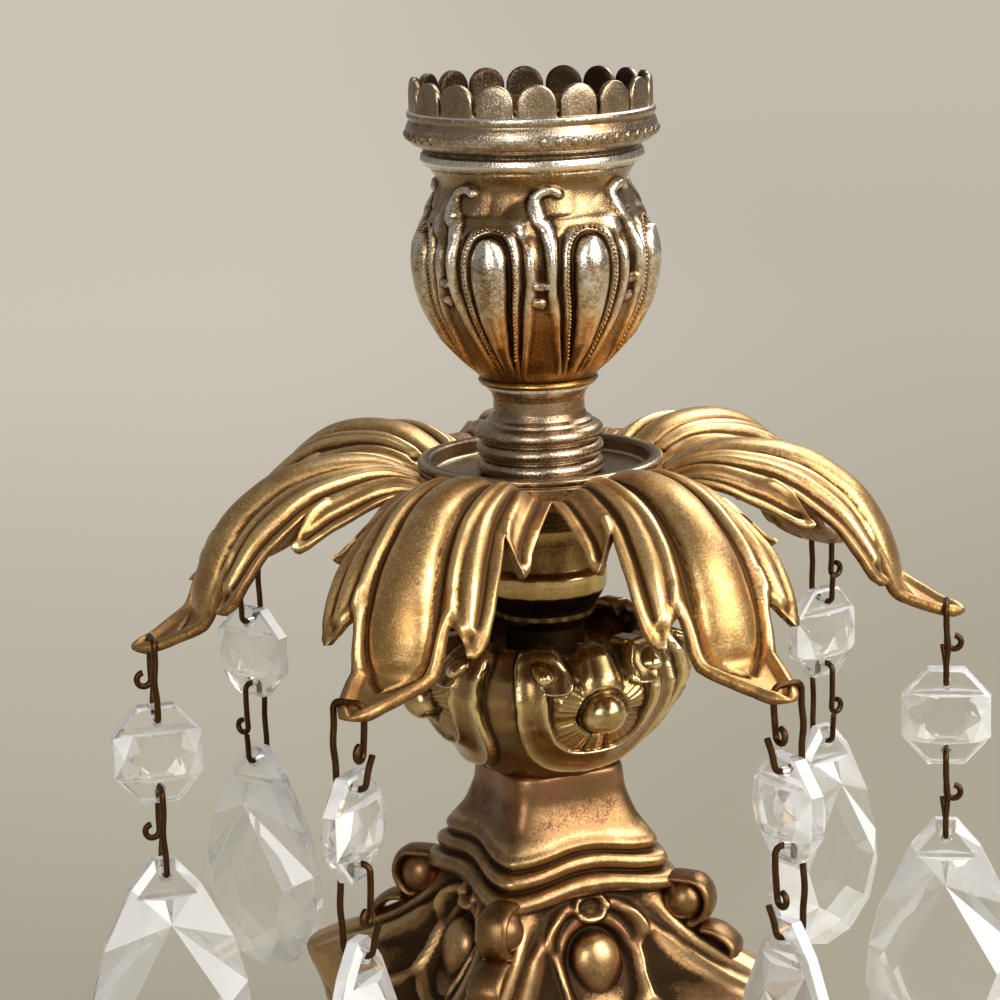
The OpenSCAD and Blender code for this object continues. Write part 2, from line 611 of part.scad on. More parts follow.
// Cut glass: a many-sided girdle tapering to a table on both faces, with its drilled ends ground thin
module glass_hole(z) {
    translate([0, bead_size, z]) rotate([90, 0, 0]) cylinder(r = glass_hole_r, h = 2 * bead_size, $fn = 32);
}
module ground_end(low, high) {
    for (s = [0, 1]) mirror([0, s, 0]) translate([-bead_size, ground_t / 2, low])
        cube([2 * bead_size, bead_size, high - low]);
}
bead_girdle_t = 2.4;
bead_table = 6.2;
bead_break = 10.2;
bead_break_t = 5.9;
bead_ground_in = 3.6;
module octagon(size) {
    rotate(22.5) circle(d = size / cos(22.5), $fn = 8);
}
module bead(i) {
    color(clear_glass) at_chain(i, bead_z) difference() {
        hull() {
            rotate([90, 0, 0]) linear_extrude(height = bead_girdle_t, center = true) octagon(bead_size);
            rotate([90, 22.5, 0]) linear_extrude(height = bead_break_t, center = true) octagon(bead_break);
            rotate([90, 0, 0]) linear_extrude(height = bead_t, center = true) octagon(bead_table);
        }
        for (s = [-1, 1]) glass_hole(s * bead_hole_gap / 2);
        ground_end(bead_size / 2 - bead_ground_in, bead_size);
        ground_end(-bead_size, bead_ground_in - bead_size / 2);
    }
}

// Outline of a prism: [half-width as a share of the whole, depth as a share of the length]
prism_outline = [[0.13, 0], [0.33, 0.11], [0.66, 0.35], [0.9, 0.54], [1, 0.685], [0.84, 0.85], [0.46, 0.965],
    [0, 1]];
prism_table = [[0, 0.24], [0.44, 0.6], [0.34, 0.77], [0, 0.86]];
prism_girdle_t = 1.8;
prism_ground_in = 5.4;
function mirrored(half) = concat(
    [for (p = half) [p[0] * prism_w / 2, -p[1] * prism_l]],
    [for (k = [len(half) - 1:-1:0]) if (half[k][0] > 0)
        [-half[k][0] * prism_w / 2, -half[k][1] * prism_l]]);
module prism(i) {
    color(clear_glass) at_chain(i, prism_top_z) difference() {
        hull() {
            rotate([90, 0, 0]) linear_extrude(height = prism_girdle_t, center = true)
                polygon(mirrored(prism_outline));
            rotate([90, 0, 0]) linear_extrude(height = prism_t, center = true) polygon(mirrored(prism_table));
        }
        glass_hole(-prism_hole_in);
        ground_end(-prism_ground_in, prism_l);
    }
}

base();
vase_knop();
stem_knop();
drip_dish();
ringed_collar();
candle_cup();
crown_gallery();
candle_socket();
threaded_rod();
base_washer();
base_nut();
top_nut();
for (i = chain_index) {
    leaf(i);
    upper_link(i);
    bead(i);
    lower_link(i);
    prism(i);
}
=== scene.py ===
"""Looks of the girandole candle holder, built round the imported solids. Sizes are in millimetres unless named."""

import math

import bpy
import numpy as np
from mathutils import Matrix, Vector


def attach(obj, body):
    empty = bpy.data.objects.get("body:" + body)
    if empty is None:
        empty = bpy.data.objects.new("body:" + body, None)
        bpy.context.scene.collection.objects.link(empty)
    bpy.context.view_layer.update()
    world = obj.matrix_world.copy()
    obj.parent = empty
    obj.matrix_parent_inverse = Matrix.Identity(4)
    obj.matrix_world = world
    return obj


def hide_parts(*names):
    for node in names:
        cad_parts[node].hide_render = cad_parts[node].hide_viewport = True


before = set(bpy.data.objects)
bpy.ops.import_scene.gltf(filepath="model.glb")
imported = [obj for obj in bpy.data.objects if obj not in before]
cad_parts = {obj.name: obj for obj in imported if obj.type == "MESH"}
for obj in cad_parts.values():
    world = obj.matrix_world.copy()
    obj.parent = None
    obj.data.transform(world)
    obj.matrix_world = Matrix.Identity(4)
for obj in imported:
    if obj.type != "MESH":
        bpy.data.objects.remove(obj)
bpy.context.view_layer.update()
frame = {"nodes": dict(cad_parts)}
nodes = frame["nodes"]

# Studio: a pale floor under soft lamps, and a camera a little above the dish, as the photograph was taken.
# The background is the floor's colour, with its painted shade, which shows through the glass too.
MM = 0.001
scene = bpy.context.scene
scene.view_settings.view_transform = "Standard"


class Socket:
    """An output of a node. Operators on it add the Math nodes of the expression."""

    def __init__(self, nodes, socket):
        self.nodes = nodes
        self.socket = socket

    def math(self, operation, first, second):
        return self.nodes.add("Math", {"operation": operation}, {0: first, 1: second})

    def __add__(self, other):
        return self.math("ADD", self, other)

    def __sub__(self, other):
        return self.math("SUBTRACT", self, other)

    def __rsub__(self, other):
        return self.math("SUBTRACT", other, self)

    def __mul__(self, other):
        return self.math("MULTIPLY", self, other)

    __radd__ = __add__
    __rmul__ = __mul__

    def between(self, low, high):
        """A smooth step from 0 at low to 1 at high."""
        limits = {0: self, 1: low, 2: high, 3: 0.0, 4: 1.0}
        return self.nodes.add("MapRange", {"interpolation_type": "SMOOTHSTEP"}, limits)


class Nodes:
    """The node tree of a finish or of the world."""

    def __init__(self, tree):
        self.tree = tree

    def add(self, kind, settings=None, inputs=None, output=0):
        made = self.tree.nodes.new("ShaderNode" + kind)
        for key, value in (settings or {}).items():
            setattr(made, key, value)
        self.fill(made, inputs or {})
        return Socket(self, made.outputs[output])

    def fill(self, node, inputs):
        for key, value in inputs.items():
            if isinstance(value, Socket):
                self.tree.links.new(value.socket, node.inputs[key])
            else:
                node.inputs[key].default_value = value

    def mix(self, first, second, factor):
        """A colour between two colours."""
        return self.add("Mix", {"data_type": "RGBA"}, {0: factor, 6: first, 7: second}, output=2)

    def noise(self, place, size, detail=3.0, roughness=0.55):
        """Soft noise whose spots are about size millimetres across."""
        inputs = {"Vector": place, "Scale": 1 / (size * MM), "Detail": detail, "Roughness": roughness}
        return self.add("TexNoise", inputs=inputs)

    def background_rays(self):
        """1 for the rays that show the background: from the camera, or through the glass."""
        path = self.tree.nodes.new("ShaderNodeLightPath")
        seen, through = (Socket(self, path.outputs[f"Is {kind} Ray"]) for kind in ("Camera", "Transmission"))
        return seen.math("MAXIMUM", seen, through)

    def blend_shaders(self, first, second, factor):
        """The surface of a finish: a blend of two shaders."""
        blend = self.tree.nodes.new("ShaderNodeMixShader")
        self.fill(blend, {0: factor})
        self.tree.links.new(first.outputs[0], blend.inputs[1])
        self.tree.links.new(second.outputs[0], blend.inputs[2])
        self.tree.links.new(blend.outputs[0], self.tree.nodes["Material Output"].inputs["Surface"])


def colour(red, green, blue):
    """A colour written as it looks on a screen, from 0 to 255."""
    shares = [v / 255 for v in (red, green, blue)]
    return (*[v / 12.92 if v < 0.04045 else ((v + 0.055) / 1.055) ** 2.4 for v in shares], 1.0)


def link(name, mesh):
    made = bpy.data.objects.new(name, mesh)
    scene.collection.objects.link(made)
    return made


def new_finish(name):
    """A new material, with its nodes and its first shader."""
    made = bpy.data.materials.new(name)
    made.use_nodes = True
    return made, Nodes(made.node_tree), made.node_tree.nodes["Principled BSDF"]


FLOOR_REACH = 4.0
floor_mesh = bpy.data.meshes.new("floor")
corners = [(x * FLOOR_REACH, y * FLOOR_REACH, 0) for x, y in ((-1, -1), (1, -1), (1, 1), (-1, 1))]
floor_mesh.from_pydata(corners, [], [(0, 1, 2, 3)])
floor = link("floor", floor_mesh)
# The floor's colour is painted shade: darker near the camera and towards +X, the right as seen, and paler with
# distance, under the real shadows that fall on it
NEAR_SHADE = colour(162, 156, 139)
PALE = colour(204, 197, 184)
floor_paint, ground, matt = new_finish("floor_paint")
floor_place = ground.add("TexCoord", output=3)
spot = ground.add("SeparateXYZ", inputs={0: floor_place}, output=1)
aside = ground.add("SeparateXYZ", inputs={0: floor_place}, output=0)
shade = 0.42 * aside.between(-0.1, 0.2) * (1 - 0.5 * spot.between(0.5, 2.0))
tone = ground.mix(NEAR_SHADE, PALE, spot.between(-0.1, 0.9) - shade)
ground.fill(matt, {"Base Color": tone, "Roughness": 0.9, "Specular IOR Level": 0.0})
glow = ground.tree.nodes.new("ShaderNodeBsdfPrincipled")
ground.fill(glow, {"Base Color": (0, 0, 0, 1), "Specular IOR Level": 0.0, "Emission Strength": 1.0,
                   "Emission Color": tone})
ground.blend_shaders(matt, glow, ground.background_rays() * (0.7 + 0.25 * spot.between(0.2, 1.0)))
floor_mesh.materials.append(floor_paint)

world = bpy.data.worlds.new("studio")
scene.world = world
world.use_nodes = True
air = Nodes(world.node_tree)
ROOM = (0.3, 0.295, 0.285, 1.0)
air.fill(world.node_tree.nodes["Background"], {"Color": air.mix(ROOM, PALE, air.background_rays())})


def lamp(name, place, aim, size, watts, tint):
    """A soft box: a square lamp at place, turned to aim. Metres."""
    data = bpy.data.lights.new(name, "AREA")
    data.size = size
    data.energy = watts
    data.color = tint
    made = link(name, data)
    made.location = place
    made.rotation_euler = (Vector(aim) - Vector(place)).to_track_quat("-Z", "Y").to_euler()


MIDDLE = (0, 0, 0.1)
DAYLIGHT = (1.0, 0.99, 0.97)
lamp("window_right", (0.85, -0.7, 0.75), MIDDLE, 0.95, 23, DAYLIGHT)
lamp("window_left", (-0.4, -1.05, 0.5), MIDDLE, 0.45, 5, DAYLIGHT)
lamp("skylight", (0.55, 0.6, 1.0), MIDDLE, 0.8, 12, (1.0, 1.0, 1.0))

camera_data = bpy.data.cameras.new("camera")
camera = link("camera", camera_data)
CAMERA_PLACE = Vector((-20.61, -421.87, 203.47)) * MM
CAMERA_AIM = Vector((-5.97, -1.01, 108.79)) * MM
CAMERA_ROLL = math.radians(1.709)
camera_data.sensor_width = 36
camera_data.lens = 108.91
camera_data.clip_start = 0.01
camera.location = CAMERA_PLACE
turned = (CAMERA_AIM - CAMERA_PLACE).to_track_quat("-Z", "Y").to_matrix()
camera.rotation_euler = (turned @ Matrix.Rotation(-CAMERA_ROLL, 3, "Z")).to_euler()
scene.camera = camera

# Base: one hollow brass casting, square in plan with hollowed sides, cleaned up with chisels and left brown.
# Stepped mouldings run down into ball volutes at the corners, and an oval boss stands on each side.
BASE_H = 70.0
BASE_TURN = 21.5
FOOT_CORNER = 44.0
FOOT_SIDE = 29.0
# Each row is a height, then the radius at a corner and at the middle of a side
BASE_ROWS = np.array([
    [0, FOOT_CORNER - 0.6, FOOT_SIDE - 0.6], [0.8, FOOT_CORNER, FOOT_SIDE], [2.6, FOOT_CORNER, FOOT_SIDE],
    [3.6, FOOT_CORNER - 1.6, FOOT_SIDE - 1], [7, FOOT_CORNER - 3.4, FOOT_SIDE - 1.6], [15, 35.4, 25.6],
    [24, 34.6, 23.2], [31, 36.6, 20.8], [35, 38.6, 19.2], [37.4, 38.9, 18.2], [39.4, 36.4, 17.0],
    [41.6, 31, 15.6], [44, 26, 14.4], [46, 22.4, 13.6], [48, 19.8, 13.1], [50, 18.6, 12.8], [52.6, 17.6, 12.6],
    [53.4, 19.4, 14.1], [54.7, 19.9, 14.5], [55.7, 19.2, 13.9], [56.3, 17.1, 12.5], [56.7, 17.6, 12.8],
    [57.5, 18, 13.1], [58.4, 17.4, 12.7], [58.9, 15.7, 11.6], [59.3, 16.1, 11.8], [60, 16.4, 12.0],
    [61, 15.7, 11.4], [63.4, 13.1, 9.9], [66.4, 11.6, 9.0], [69.6, 11.1, 8.9], [70, 10.8, 8.7]])
HOLLOW_ROWS = [[52, 15, 9.6], [44, 21, 11.4], [37.4, 31, 15.2], [31, 33.6, 17.8], [15, 32.4, 22.6], [0, 41, 26]]
CORNER_SHARPNESS = [[0, 2], [24, 2.2], [36, 3.2], [44, 5.5], [51, 5], [54, 2.6], [70, 2]]
MOULDING_DIP = [[51, 0], [54, 1.5], [61, 1.2], [65, 0]]
BASE_COLUMNS = 320
BASE_SPANS = [(0, 8, 13), (8, 34, 47), (34, 53, 61), (53, 61.4, 63), (61.4, BASE_H, 21)]
BOSS_Z = 42
BOSS_HALF = (4.3, 5.5)
BOSS_SEAT_R = 14.2
BOSS_RISE = 3.2
DROP_Z = 51.2
DROP_HALF = (2.6, 2.2)
STRAP_HALF = 3.2
FAN_Z = 40
VOLUTE_R = 3.2
VOLUTE_PLACE = (20.6, 50.4)
ROD_HOLE_R = 2.6


def straight(x, knots):
    """The value at x of straight lines through the knots."""
    table = np.asarray(knots, float)
    return np.interp(x, table[:, 0], table[:, 1])


def smooth(x, knots):
    """The value at x of a smooth curve through the knots that never overshoots them."""
    table = np.asarray(knots, float)
    at, value = table[:, 0], table[:, 1]
    slope = np.diff(value) / np.diff(at)
    product = slope[:-1] * slope[1:]
    total = slope[:-1] + slope[1:]
    inner = np.where(product > 0, 2 * product / np.where(total == 0, 1, total), 0)
    tangent = np.concatenate([slope[:1], inner, slope[-1:]])
    place = np.clip(np.searchsorted(at, x, side="right") - 1, 0, len(at) - 2)
    gap = at[place + 1] - at[place]
    t = np.clip((x - at[place]) / gap, 0, 1)
    bend = t * t * (3 - 2 * t)
    start = t * (1 - t) ** 2 * gap * tangent[place]
    end = t * t * (1 - t) * gap * tangent[place + 1]
    return value[place] * (1 - bend) + value[place + 1] * bend + start - end


def over_spans(spans):
    """Places over spans in turn, each a start, an end and a count, up to the end of the last."""
    starts = [np.linspace(start, end, count, endpoint=False) for start, end, count in spans]
    return np.concatenate([*starts, [spans[-1][1]]])


def to_path(x, y, path):
    """The distance of each point from a path of straight lines."""
    best = np.full(np.shape(x), 1e9)
    for (x0, y0), (x1, y1) in zip(path[:-1], path[1:]):
        length = (x1 - x0) ** 2 + (y1 - y0) ** 2
        t = np.clip(((x - x0) * (x1 - x0) + (y - y0) * (y1 - y0)) / length, 0, 1)
        best = np.minimum(best, np.hypot(x - x0 - t * (x1 - x0), y - y0 - t * (y1 - y0)))
    return best


def run_along(path):
    """The distance along a path to each of its points."""
    return np.concatenate([[0], np.cumsum(np.linalg.norm(np.diff(path, axis=0), axis=1))])


def rounded_path(points, count):
    """A smooth path through points, as count points."""
    table = np.asarray(points, float)
    run = run_along(table)
    at = np.linspace(0, run[-1], count)
    return np.stack([smooth(at, np.stack([run, table[:, k]], axis=-1)) for k in range(table.shape[1])], axis=-1)


def ring_of(count):
    """Even directions round the stem, in degrees."""
    return np.arange(count) * 360 / count


def fold(angle, count):
    """The angle in degrees from the nearest of count even directions."""
    step = 360 / count
    return angle - step * np.round(angle / step)


def bump(distance, half):
    """A round ridge of height 1 and the given half-width."""
    return np.sqrt(np.clip(1 - (distance / half) ** 2, 0, 1))


def soft_bump(distance, half):
    """A ridge of height 1 that runs out softly."""
    return np.clip(1 - (distance / half) ** 2, 0, 1) ** 2


def polar(radius, angle, height):
    """Points from a radius, an angle in degrees from the front towards +X, and a height."""
    turn = np.radians(angle)
    return np.stack(np.broadcast_arrays(radius * np.sin(turn), -radius * np.cos(turn), height), axis=-1)


def blurred(relief, reach, around):
    """The mean of a relief over reach points each way. Around joins the last column to the first."""
    mode = "wrap" if around else "edge"
    for axis, how in ((0, "edge"), (1, mode)):
        widths = [(0, 0), (0, 0)]
        widths[axis] = (reach, reach)
        padded = np.pad(relief, widths, mode=how)
        size = relief.shape[axis]
        relief = sum(np.take(padded, range(k, k + size), axis=axis) for k in range(2 * reach + 1)) / (2 * reach + 1)
    return relief


def hollows(relief, reach, around=True):
    """How deep each point of a relief lies under its neighbourhood: above 0 in grooves, below 0 on ridges. The metals
    paint patina and shade into the grooves and hollows by it.
    """
    fine = blurred(relief, reach, around) - relief
    broad = blurred(blurred(relief, reach, around), 3 * reach, around) - relief
    return fine + 0.5 * broad


def shell(name, rings, hollow=None, closed=False, caps=False):
    """A smooth mesh through rings of points, anticlockwise from above. Closed joins the last ring to the first."""
    rings = np.asarray(rings)
    rows, columns = rings.shape[:2]
    index = np.arange(rows * columns).reshape(rows, columns)
    low = index if closed else index[:-1]
    high = np.roll(index, -1, axis=0) if closed else index[1:]
    quads = np.stack([low, np.roll(low, -1, axis=1), np.roll(high, -1, axis=1), high], axis=-1).reshape(-1, 4)
    faces = quads.tolist()
    if caps:
        faces += [index[0][::-1].tolist(), index[-1].tolist()]
    mesh = bpy.data.meshes.new(name)
    mesh.from_pydata((rings.reshape(-1, 3) * MM).tolist(), [], faces)
    mesh.shade_smooth()
    depth = mesh.attributes.new("hollow", "FLOAT", "POINT")
    if hollow is not None:
        depth.data.foreach_set("value", np.asarray(hollow, np.float32).ravel())
    return mesh


def ball(centre, radii, columns=28, rows=16):
    """Rings of a ball, or of an egg, about its centre."""
    lift = np.linspace(-math.pi / 2 + 0.02, math.pi / 2 - 0.02, rows)[:, None]
    turn = np.linspace(0, 2 * math.pi, columns, endpoint=False)[None, :]
    unit = np.stack([np.cos(lift) * np.cos(turn), np.cos(lift) * np.sin(turn), np.sin(lift) + 0 * turn], axis=-1)
    return unit * np.asarray(radii) + np.asarray(centre)


def cast(name, outer, depth, inner, inside_shade):
    """A casting: its outer rings with the depth of their relief, then plain rings inside, back to the first. The
    inside is painted evenly darker, as shade.
    """
    flat = np.full((len(inner), outer.shape[1]), inside_shade)
    return shell(name, np.concatenate([outer, inner]), np.concatenate([depth, flat]), closed=True)


def dressed(mesh, material):
    """An object in a material, with its mesh's name."""
    mesh.materials.append(material)
    return link(mesh.name, mesh)


def joined(name, meshes):
    """One mesh out of several, with their materials."""
    objects = [link(name, mesh) for mesh in meshes]
    with bpy.context.temp_override(active_object=objects[0], selected_editable_objects=objects):
        bpy.ops.object.join()
    return objects[0]


# Marks on old brass: the sizes of clouds and spots, the depth of pits, and how far a foot's colour wanders
CLOUD_SIZE = 14
SPOT_SIZE = 2.2
PIT_DEPTH = 0.12
FOOT_BLUR = 14


def aged_metal(name, high, body, deep, stain, rough=0.32, grain=0.5, speck=0.35, mottle=0.4, depth_share=1.0,
               foot=None):
    """Old brass: rubbed bright on its ridges, brown in its grooves with patina and painted shade, with stains, and a
    fine grain of pits.
    A foot is the colours of its body and ridges lower down, and the heights that they change between."""
    material, metal, shader = new_finish(name)
    high, body, deep, stain = (colour(*shade) for shade in (high, body, deep, stain))
    place = metal.add("TexCoord", output=3)
    depth = metal.add("Attribute", {"attribute_name": "hollow"}, output=2)
    cloud = metal.noise(place, CLOUD_SIZE, 3.0, 0.6)
    spots = metal.noise(place, SPOT_SIZE, 4.0, 0.65)
    pits = metal.noise(place, speck, 3.0, 0.65)
    stir = (spots - 0.5) * (2 * mottle) + (pits - 0.5) * (2.4 * grain)
    # Grooves and broad hollows take the deep colour: patina, and painted shade where less light reaches
    patina_and_shade = (depth * (2.6 * depth_share) + stir * 0.8 + (cloud - 0.5) * 0.4).between(0.05, 0.75)
    ridge = (stir - depth * (2.6 * depth_share) + (0.5 - cloud) * 0.5).between(0.0, 0.7)
    stained = (cloud + (spots - 0.5) * 0.9).between(0.47, 0.7)
    tone = metal.mix(body, stain, stained * 0.8)
    rubbed = high
    if foot:
        height = metal.add("SeparateXYZ", inputs={0: place}, output=2)
        upper = (height + (spots - 0.5) * (FOOT_BLUR * MM)).between(foot[2] * MM, foot[3] * MM)
        tone = metal.mix(colour(*foot[0]), tone, upper)
        rubbed = metal.mix(colour(*foot[1]), high, upper)
    tone = metal.mix(tone, rubbed, ridge)
    tone = metal.mix(tone, deep, patina_and_shade)
    dull = rough + patina_and_shade * 0.22 + (pits - 0.5) * (0.5 * grain) - ridge * 0.05
    height = pits * grain + spots * mottle * 0.7
    relief = metal.add("Bump", inputs={"Strength": 0.6, "Distance": PIT_DEPTH * MM, "Height": height})
    metal.fill(shader, {"Base Color": tone, "Roughness": dull, "Metallic": 1.0, "Normal": relief})
    return material


BROWN_BRONZE = aged_metal("dark_bronze", (186, 152, 106), (130, 99, 64), (58, 42, 26),
                          (150, 102, 76), rough=0.36, grain=0.45, mottle=0.5, depth_share=0.8)

angles = ring_of(BASE_COLUMNS)
turn, level = np.meshgrid(fold(angles, 4), over_spans(BASE_SPANS))
corner_share = np.abs(np.sin(np.radians(2 * turn))) ** straight(level, CORNER_SHARPNESS)
side_r = smooth(level, BASE_ROWS[:, [0, 2]])
corner_r = smooth(level, BASE_ROWS[:, [0, 1]])
hollowed = side_r + (corner_r - side_r) * corner_share
# The neck and its mouldings are square with rounded corners
power = 1 / np.maximum(0.5 - np.log2(corner_r / side_r), 0.04)
cosine, sine = np.abs(np.cos(np.radians(turn))), np.abs(np.sin(np.radians(turn)))
squared = side_r / (cosine ** power + sine ** power) ** (1 / power)
above = smooth(level, [[50.5, 0], [53.4, 1]])
base_r = hollowed * (1 - 0.5 * above) + squared * 0.5 * above
across = base_r * np.radians(turn)
from_corner = base_r * np.radians(45 - np.abs(turn))
# The boss with its rim, and the small drop over it
boss = np.hypot(across / BOSS_HALF[0], (level - BOSS_Z) / BOSS_HALF[1])
base_r = np.maximum(base_r, np.where(boss < 1, BOSS_SEAT_R + BOSS_RISE * bump(boss, 1), 0))
base_r += 1.0 * soft_bump(boss - 1.38, 0.3) - 0.5 * soft_bump(boss - 1.08, 0.12)
drop = np.hypot(across / DROP_HALF[0], (level - DROP_Z) / DROP_HALF[1])
base_r += 0.9 * soft_bump(drop - 0.8, 0.35) * (level < 52.4)
# The strap down each corner, with its two grooves, and the scrolled edge beside it
on_strap = straight(level, [[33, 0], [37, 1], [48, 1], [50.5, 0]])
strap = np.clip((STRAP_HALF - from_corner) / 0.6, 0, 1)
base_r += on_strap * (0.9 * strap - 0.5 * soft_bump(from_corner - 1.3, 0.6))
edge_line = from_corner - straight(level, [[34, 4.9], [40, 5.2], [46, 4.4], [51, 5.6], [53, 7.5]])
base_r += 1.5 * soft_bump(edge_line, 1.5) * straight(level, [[35, 0], [38, 1], [50, 1], [52.4, 0]])
# A fan of flutes under each boss, and veins down each foot
ray = np.degrees(np.arctan2(across, FAN_Z - level))
fan = straight(level, [[4, 0], [8, 1], [27, 1], [33, 0]]) * np.clip((12.5 - np.abs(across)) / 4, 0, 1)
base_r += 0.55 * fan * np.abs(np.cos(np.radians(ray * 11)))
vein = straight(level, [[5, 0], [10, 1], [30, 1], [34, 0]]) * np.clip((9 - from_corner) / 3, 0, 1)
base_r += 0.5 * vein * np.cos(from_corner * 1.9)
# An S-scroll on each side of the boss
S_SCROLL = [(2.6, 51), (5.2, 50), (6.8, 47.6), (6.4, 44.6), (5.6, 41.6), (6.4, 38.6), (8.8, 36.4), (11, 36)]
scrolls = to_path(np.abs(across), level, rounded_path(S_SCROLL, 50))
base_r += 1.0 * soft_bump(scrolls, 1.3)
base_depth = hollows(base_r, 3) * 0.55
raised = level - straight(level, MOULDING_DIP) * corner_share
outer = polar(base_r, angles[None, :] + BASE_TURN, raised)
inner = []
ROOF_Z = HOLLOW_ROWS[0][0]
for height, corner, side in [[BASE_H, ROD_HOLE_R, ROD_HOLE_R], [ROOF_Z, ROD_HOLE_R, ROD_HOLE_R], *HOLLOW_ROWS]:
    share = np.abs(np.sin(np.radians(2 * angles))) ** straight(height, CORNER_SHARPNESS)
    inner.append(polar(side + (corner - side) * share, angles + BASE_TURN, height))
casting = [cast("base_casting", outer, base_depth, inner, 0.2)]
# A scroll curls from the mouldings round each volute
SCROLL = [(16.5, 53.2), (19.6, 53.7), (22.2, 53.6), (23.9, 52.4), (24.4, 50.4), (23.7, 48.4), (22, 47.2), (20, 47.3)]
SCROLL_HALF_W = 2.3
SCROLL_T = 0.8
CURL = [(22.6, 46.6), (25, 46.4), (27, 45.4), (28.2, 43.8), (27.8, 42.2), (26.4, 41.6)]
CURL_HALF_W = 2.6


def turned_to(points, angle, side=1):
    """Points drawn along +X, turned to an angle from the front. Side -1 mirrors them first."""
    a = np.radians(angle - 90)
    x, y, z = points[..., 0], points[..., 1] * side, points[..., 2]
    return np.stack([x * np.cos(a) - y * np.sin(a), x * np.sin(a) + y * np.cos(a), z], axis=-1)


def ribbon(name, path, direction, half, thick):
    """A flat bar along a path of [radius, height] points, upright at a direction, run out at both ends."""
    line = rounded_path(path, 60)
    along = np.gradient(line, axis=0)
    along = along / np.linalg.norm(along, axis=1, keepdims=True)
    turn = np.linspace(2 * math.pi, 0, 16, endpoint=False)
    taper = np.clip(3 * np.sin(np.linspace(0.06, math.pi - 0.06, len(line))), 0, 1)[:, None]
    radius = line[:, :1] + along[:, 1:] * thick * np.sin(turn) * taper
    height = line[:, 1:] - along[:, :1] * thick * np.sin(turn) * taper
    side = half * np.cos(turn) * taper
    return shell(name, turned_to(np.stack([radius, side, height], axis=-1), direction), caps=True)


for quarter in range(4):
    direction = 45 + 90 * quarter + BASE_TURN
    middle = polar(VOLUTE_PLACE[0], direction, VOLUTE_PLACE[1])
    casting.append(shell("volute", ball(middle, (VOLUTE_R, VOLUTE_R, VOLUTE_R)), caps=True))
    casting.append(ribbon("scroll", SCROLL, direction, SCROLL_HALF_W, SCROLL_T))
    casting.append(ribbon("curl", CURL, direction, CURL_HALF_W, SCROLL_T))
base_casting = joined("base_casting", casting)
base_casting.data.materials.append(BROWN_BRONZE)
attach(base_casting, "stand")
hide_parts("base")

# Vase: an open cast bulb that the stem drops into. Four shell cartouches stand out from its plain, filed straps,
# each in a channelled frame that curls round two ball eyes, with a pearl on the shell.
VASE_Z = 70.0
VASE_H = 20.5
VASE_WALL = 1.8
VASE_FLOOR = 3.0
VASE_PROFILE = [[0, 10.1], [0.07, 11.3], [0.2, 13.6], [0.35, 15.8], [0.5, 17.6], [0.65, 18.5], [0.8, 18.0],
                [0.93, 16.3], [1, 15.2]]
# The right half of a cartouche's frame: distance from its middle and height over the vase's foot
FRAME = [(0, 3.2), (3.4, 3.6), (6.6, 5.6), (8.6, 8.8), (9.6, 12), (9.8, 15), (9.4, 17.4), (8.4, 19.1), (7, 19.4),
         (6, 18.6), (6.1, 17.4), (7, 17)]
FRAME_HALF = 1.9
EYE = (7.7, 17.9)
PEARL = (0, 11.7)
PEARL_R = 3.0
PEARL_SEAT_R = 19.2
VASE_COLUMNS = 440
VASE_ROWS = 130
# The frame's middle line by height, which bounds the shell
FRAME_X = [[0, 0.1], [3.2, 0.2], [3.6, 3.4], [5.6, 6.6], [8.8, 8.6], [12, 9.6], [15, 9.8], [17.4, 9.4], [20.5, 8]]
LIP = 0.9
DIP_FROM = 0.6
angles = ring_of(VASE_COLUMNS)
turn, level = np.meshgrid(fold(angles, 4), np.linspace(0, 1, VASE_ROWS))
plain_r = smooth(level, VASE_PROFILE)
across = np.abs(plain_r * np.radians(turn))
up = level * VASE_H
line = to_path(across, up, rounded_path(FRAME, 60))
inside = smooth(smooth(up, FRAME_X) - across, [[-1.2, 0], [0.4, 1]])
# Lobes of the shell run out from the pearl, each with fine cuts
fan = np.degrees(np.arctan2(across, up - PEARL[1]))
shell_share = np.clip((1 - np.hypot(across / 7.6, (up - 12) / 9.6)) * 5, 0, 1) * inside
lobes = 0.9 * np.abs(np.cos(np.radians(fan * 2.7))) ** 0.5 + 0.07 * np.cos(np.radians(fan * 36))
swell = 1.5 * bump(across, 3.2) * straight(up, [[12, 0], [15, 1], [20.5, 1]])
channel = (1.9 * straight(up, [[2, 0.5], [9, 0.7], [14, 1], [20, 1]]) + 0.9 * np.minimum(line / FRAME_HALF, 1) ** 2)
banded = smooth(FRAME_HALF + 0.35 - line, [[0, 0], [0.45, 1]])
field = 0.5 * inside + shell_share * np.maximum(lobes, swell)
vase_r = plain_r + field * (1 - banded) + channel * banded
vase_r += 1.5 * bump(np.hypot(across - EYE[0], up - EYE[1]), 1.35)
off_pearl = np.hypot(across - PEARL[0], up - PEARL[1])
vase_r -= 0.5 * soft_bump(off_pearl - PEARL_R - 0.3, 0.7)
pearl_top = PEARL_SEAT_R + np.sqrt(np.clip(PEARL_R ** 2 - off_pearl ** 2, 0, None))
vase_r = np.where(off_pearl < PEARL_R, np.maximum(vase_r, pearl_top), vase_r)
vase_depth = hollows(vase_r, 2) * 0.6
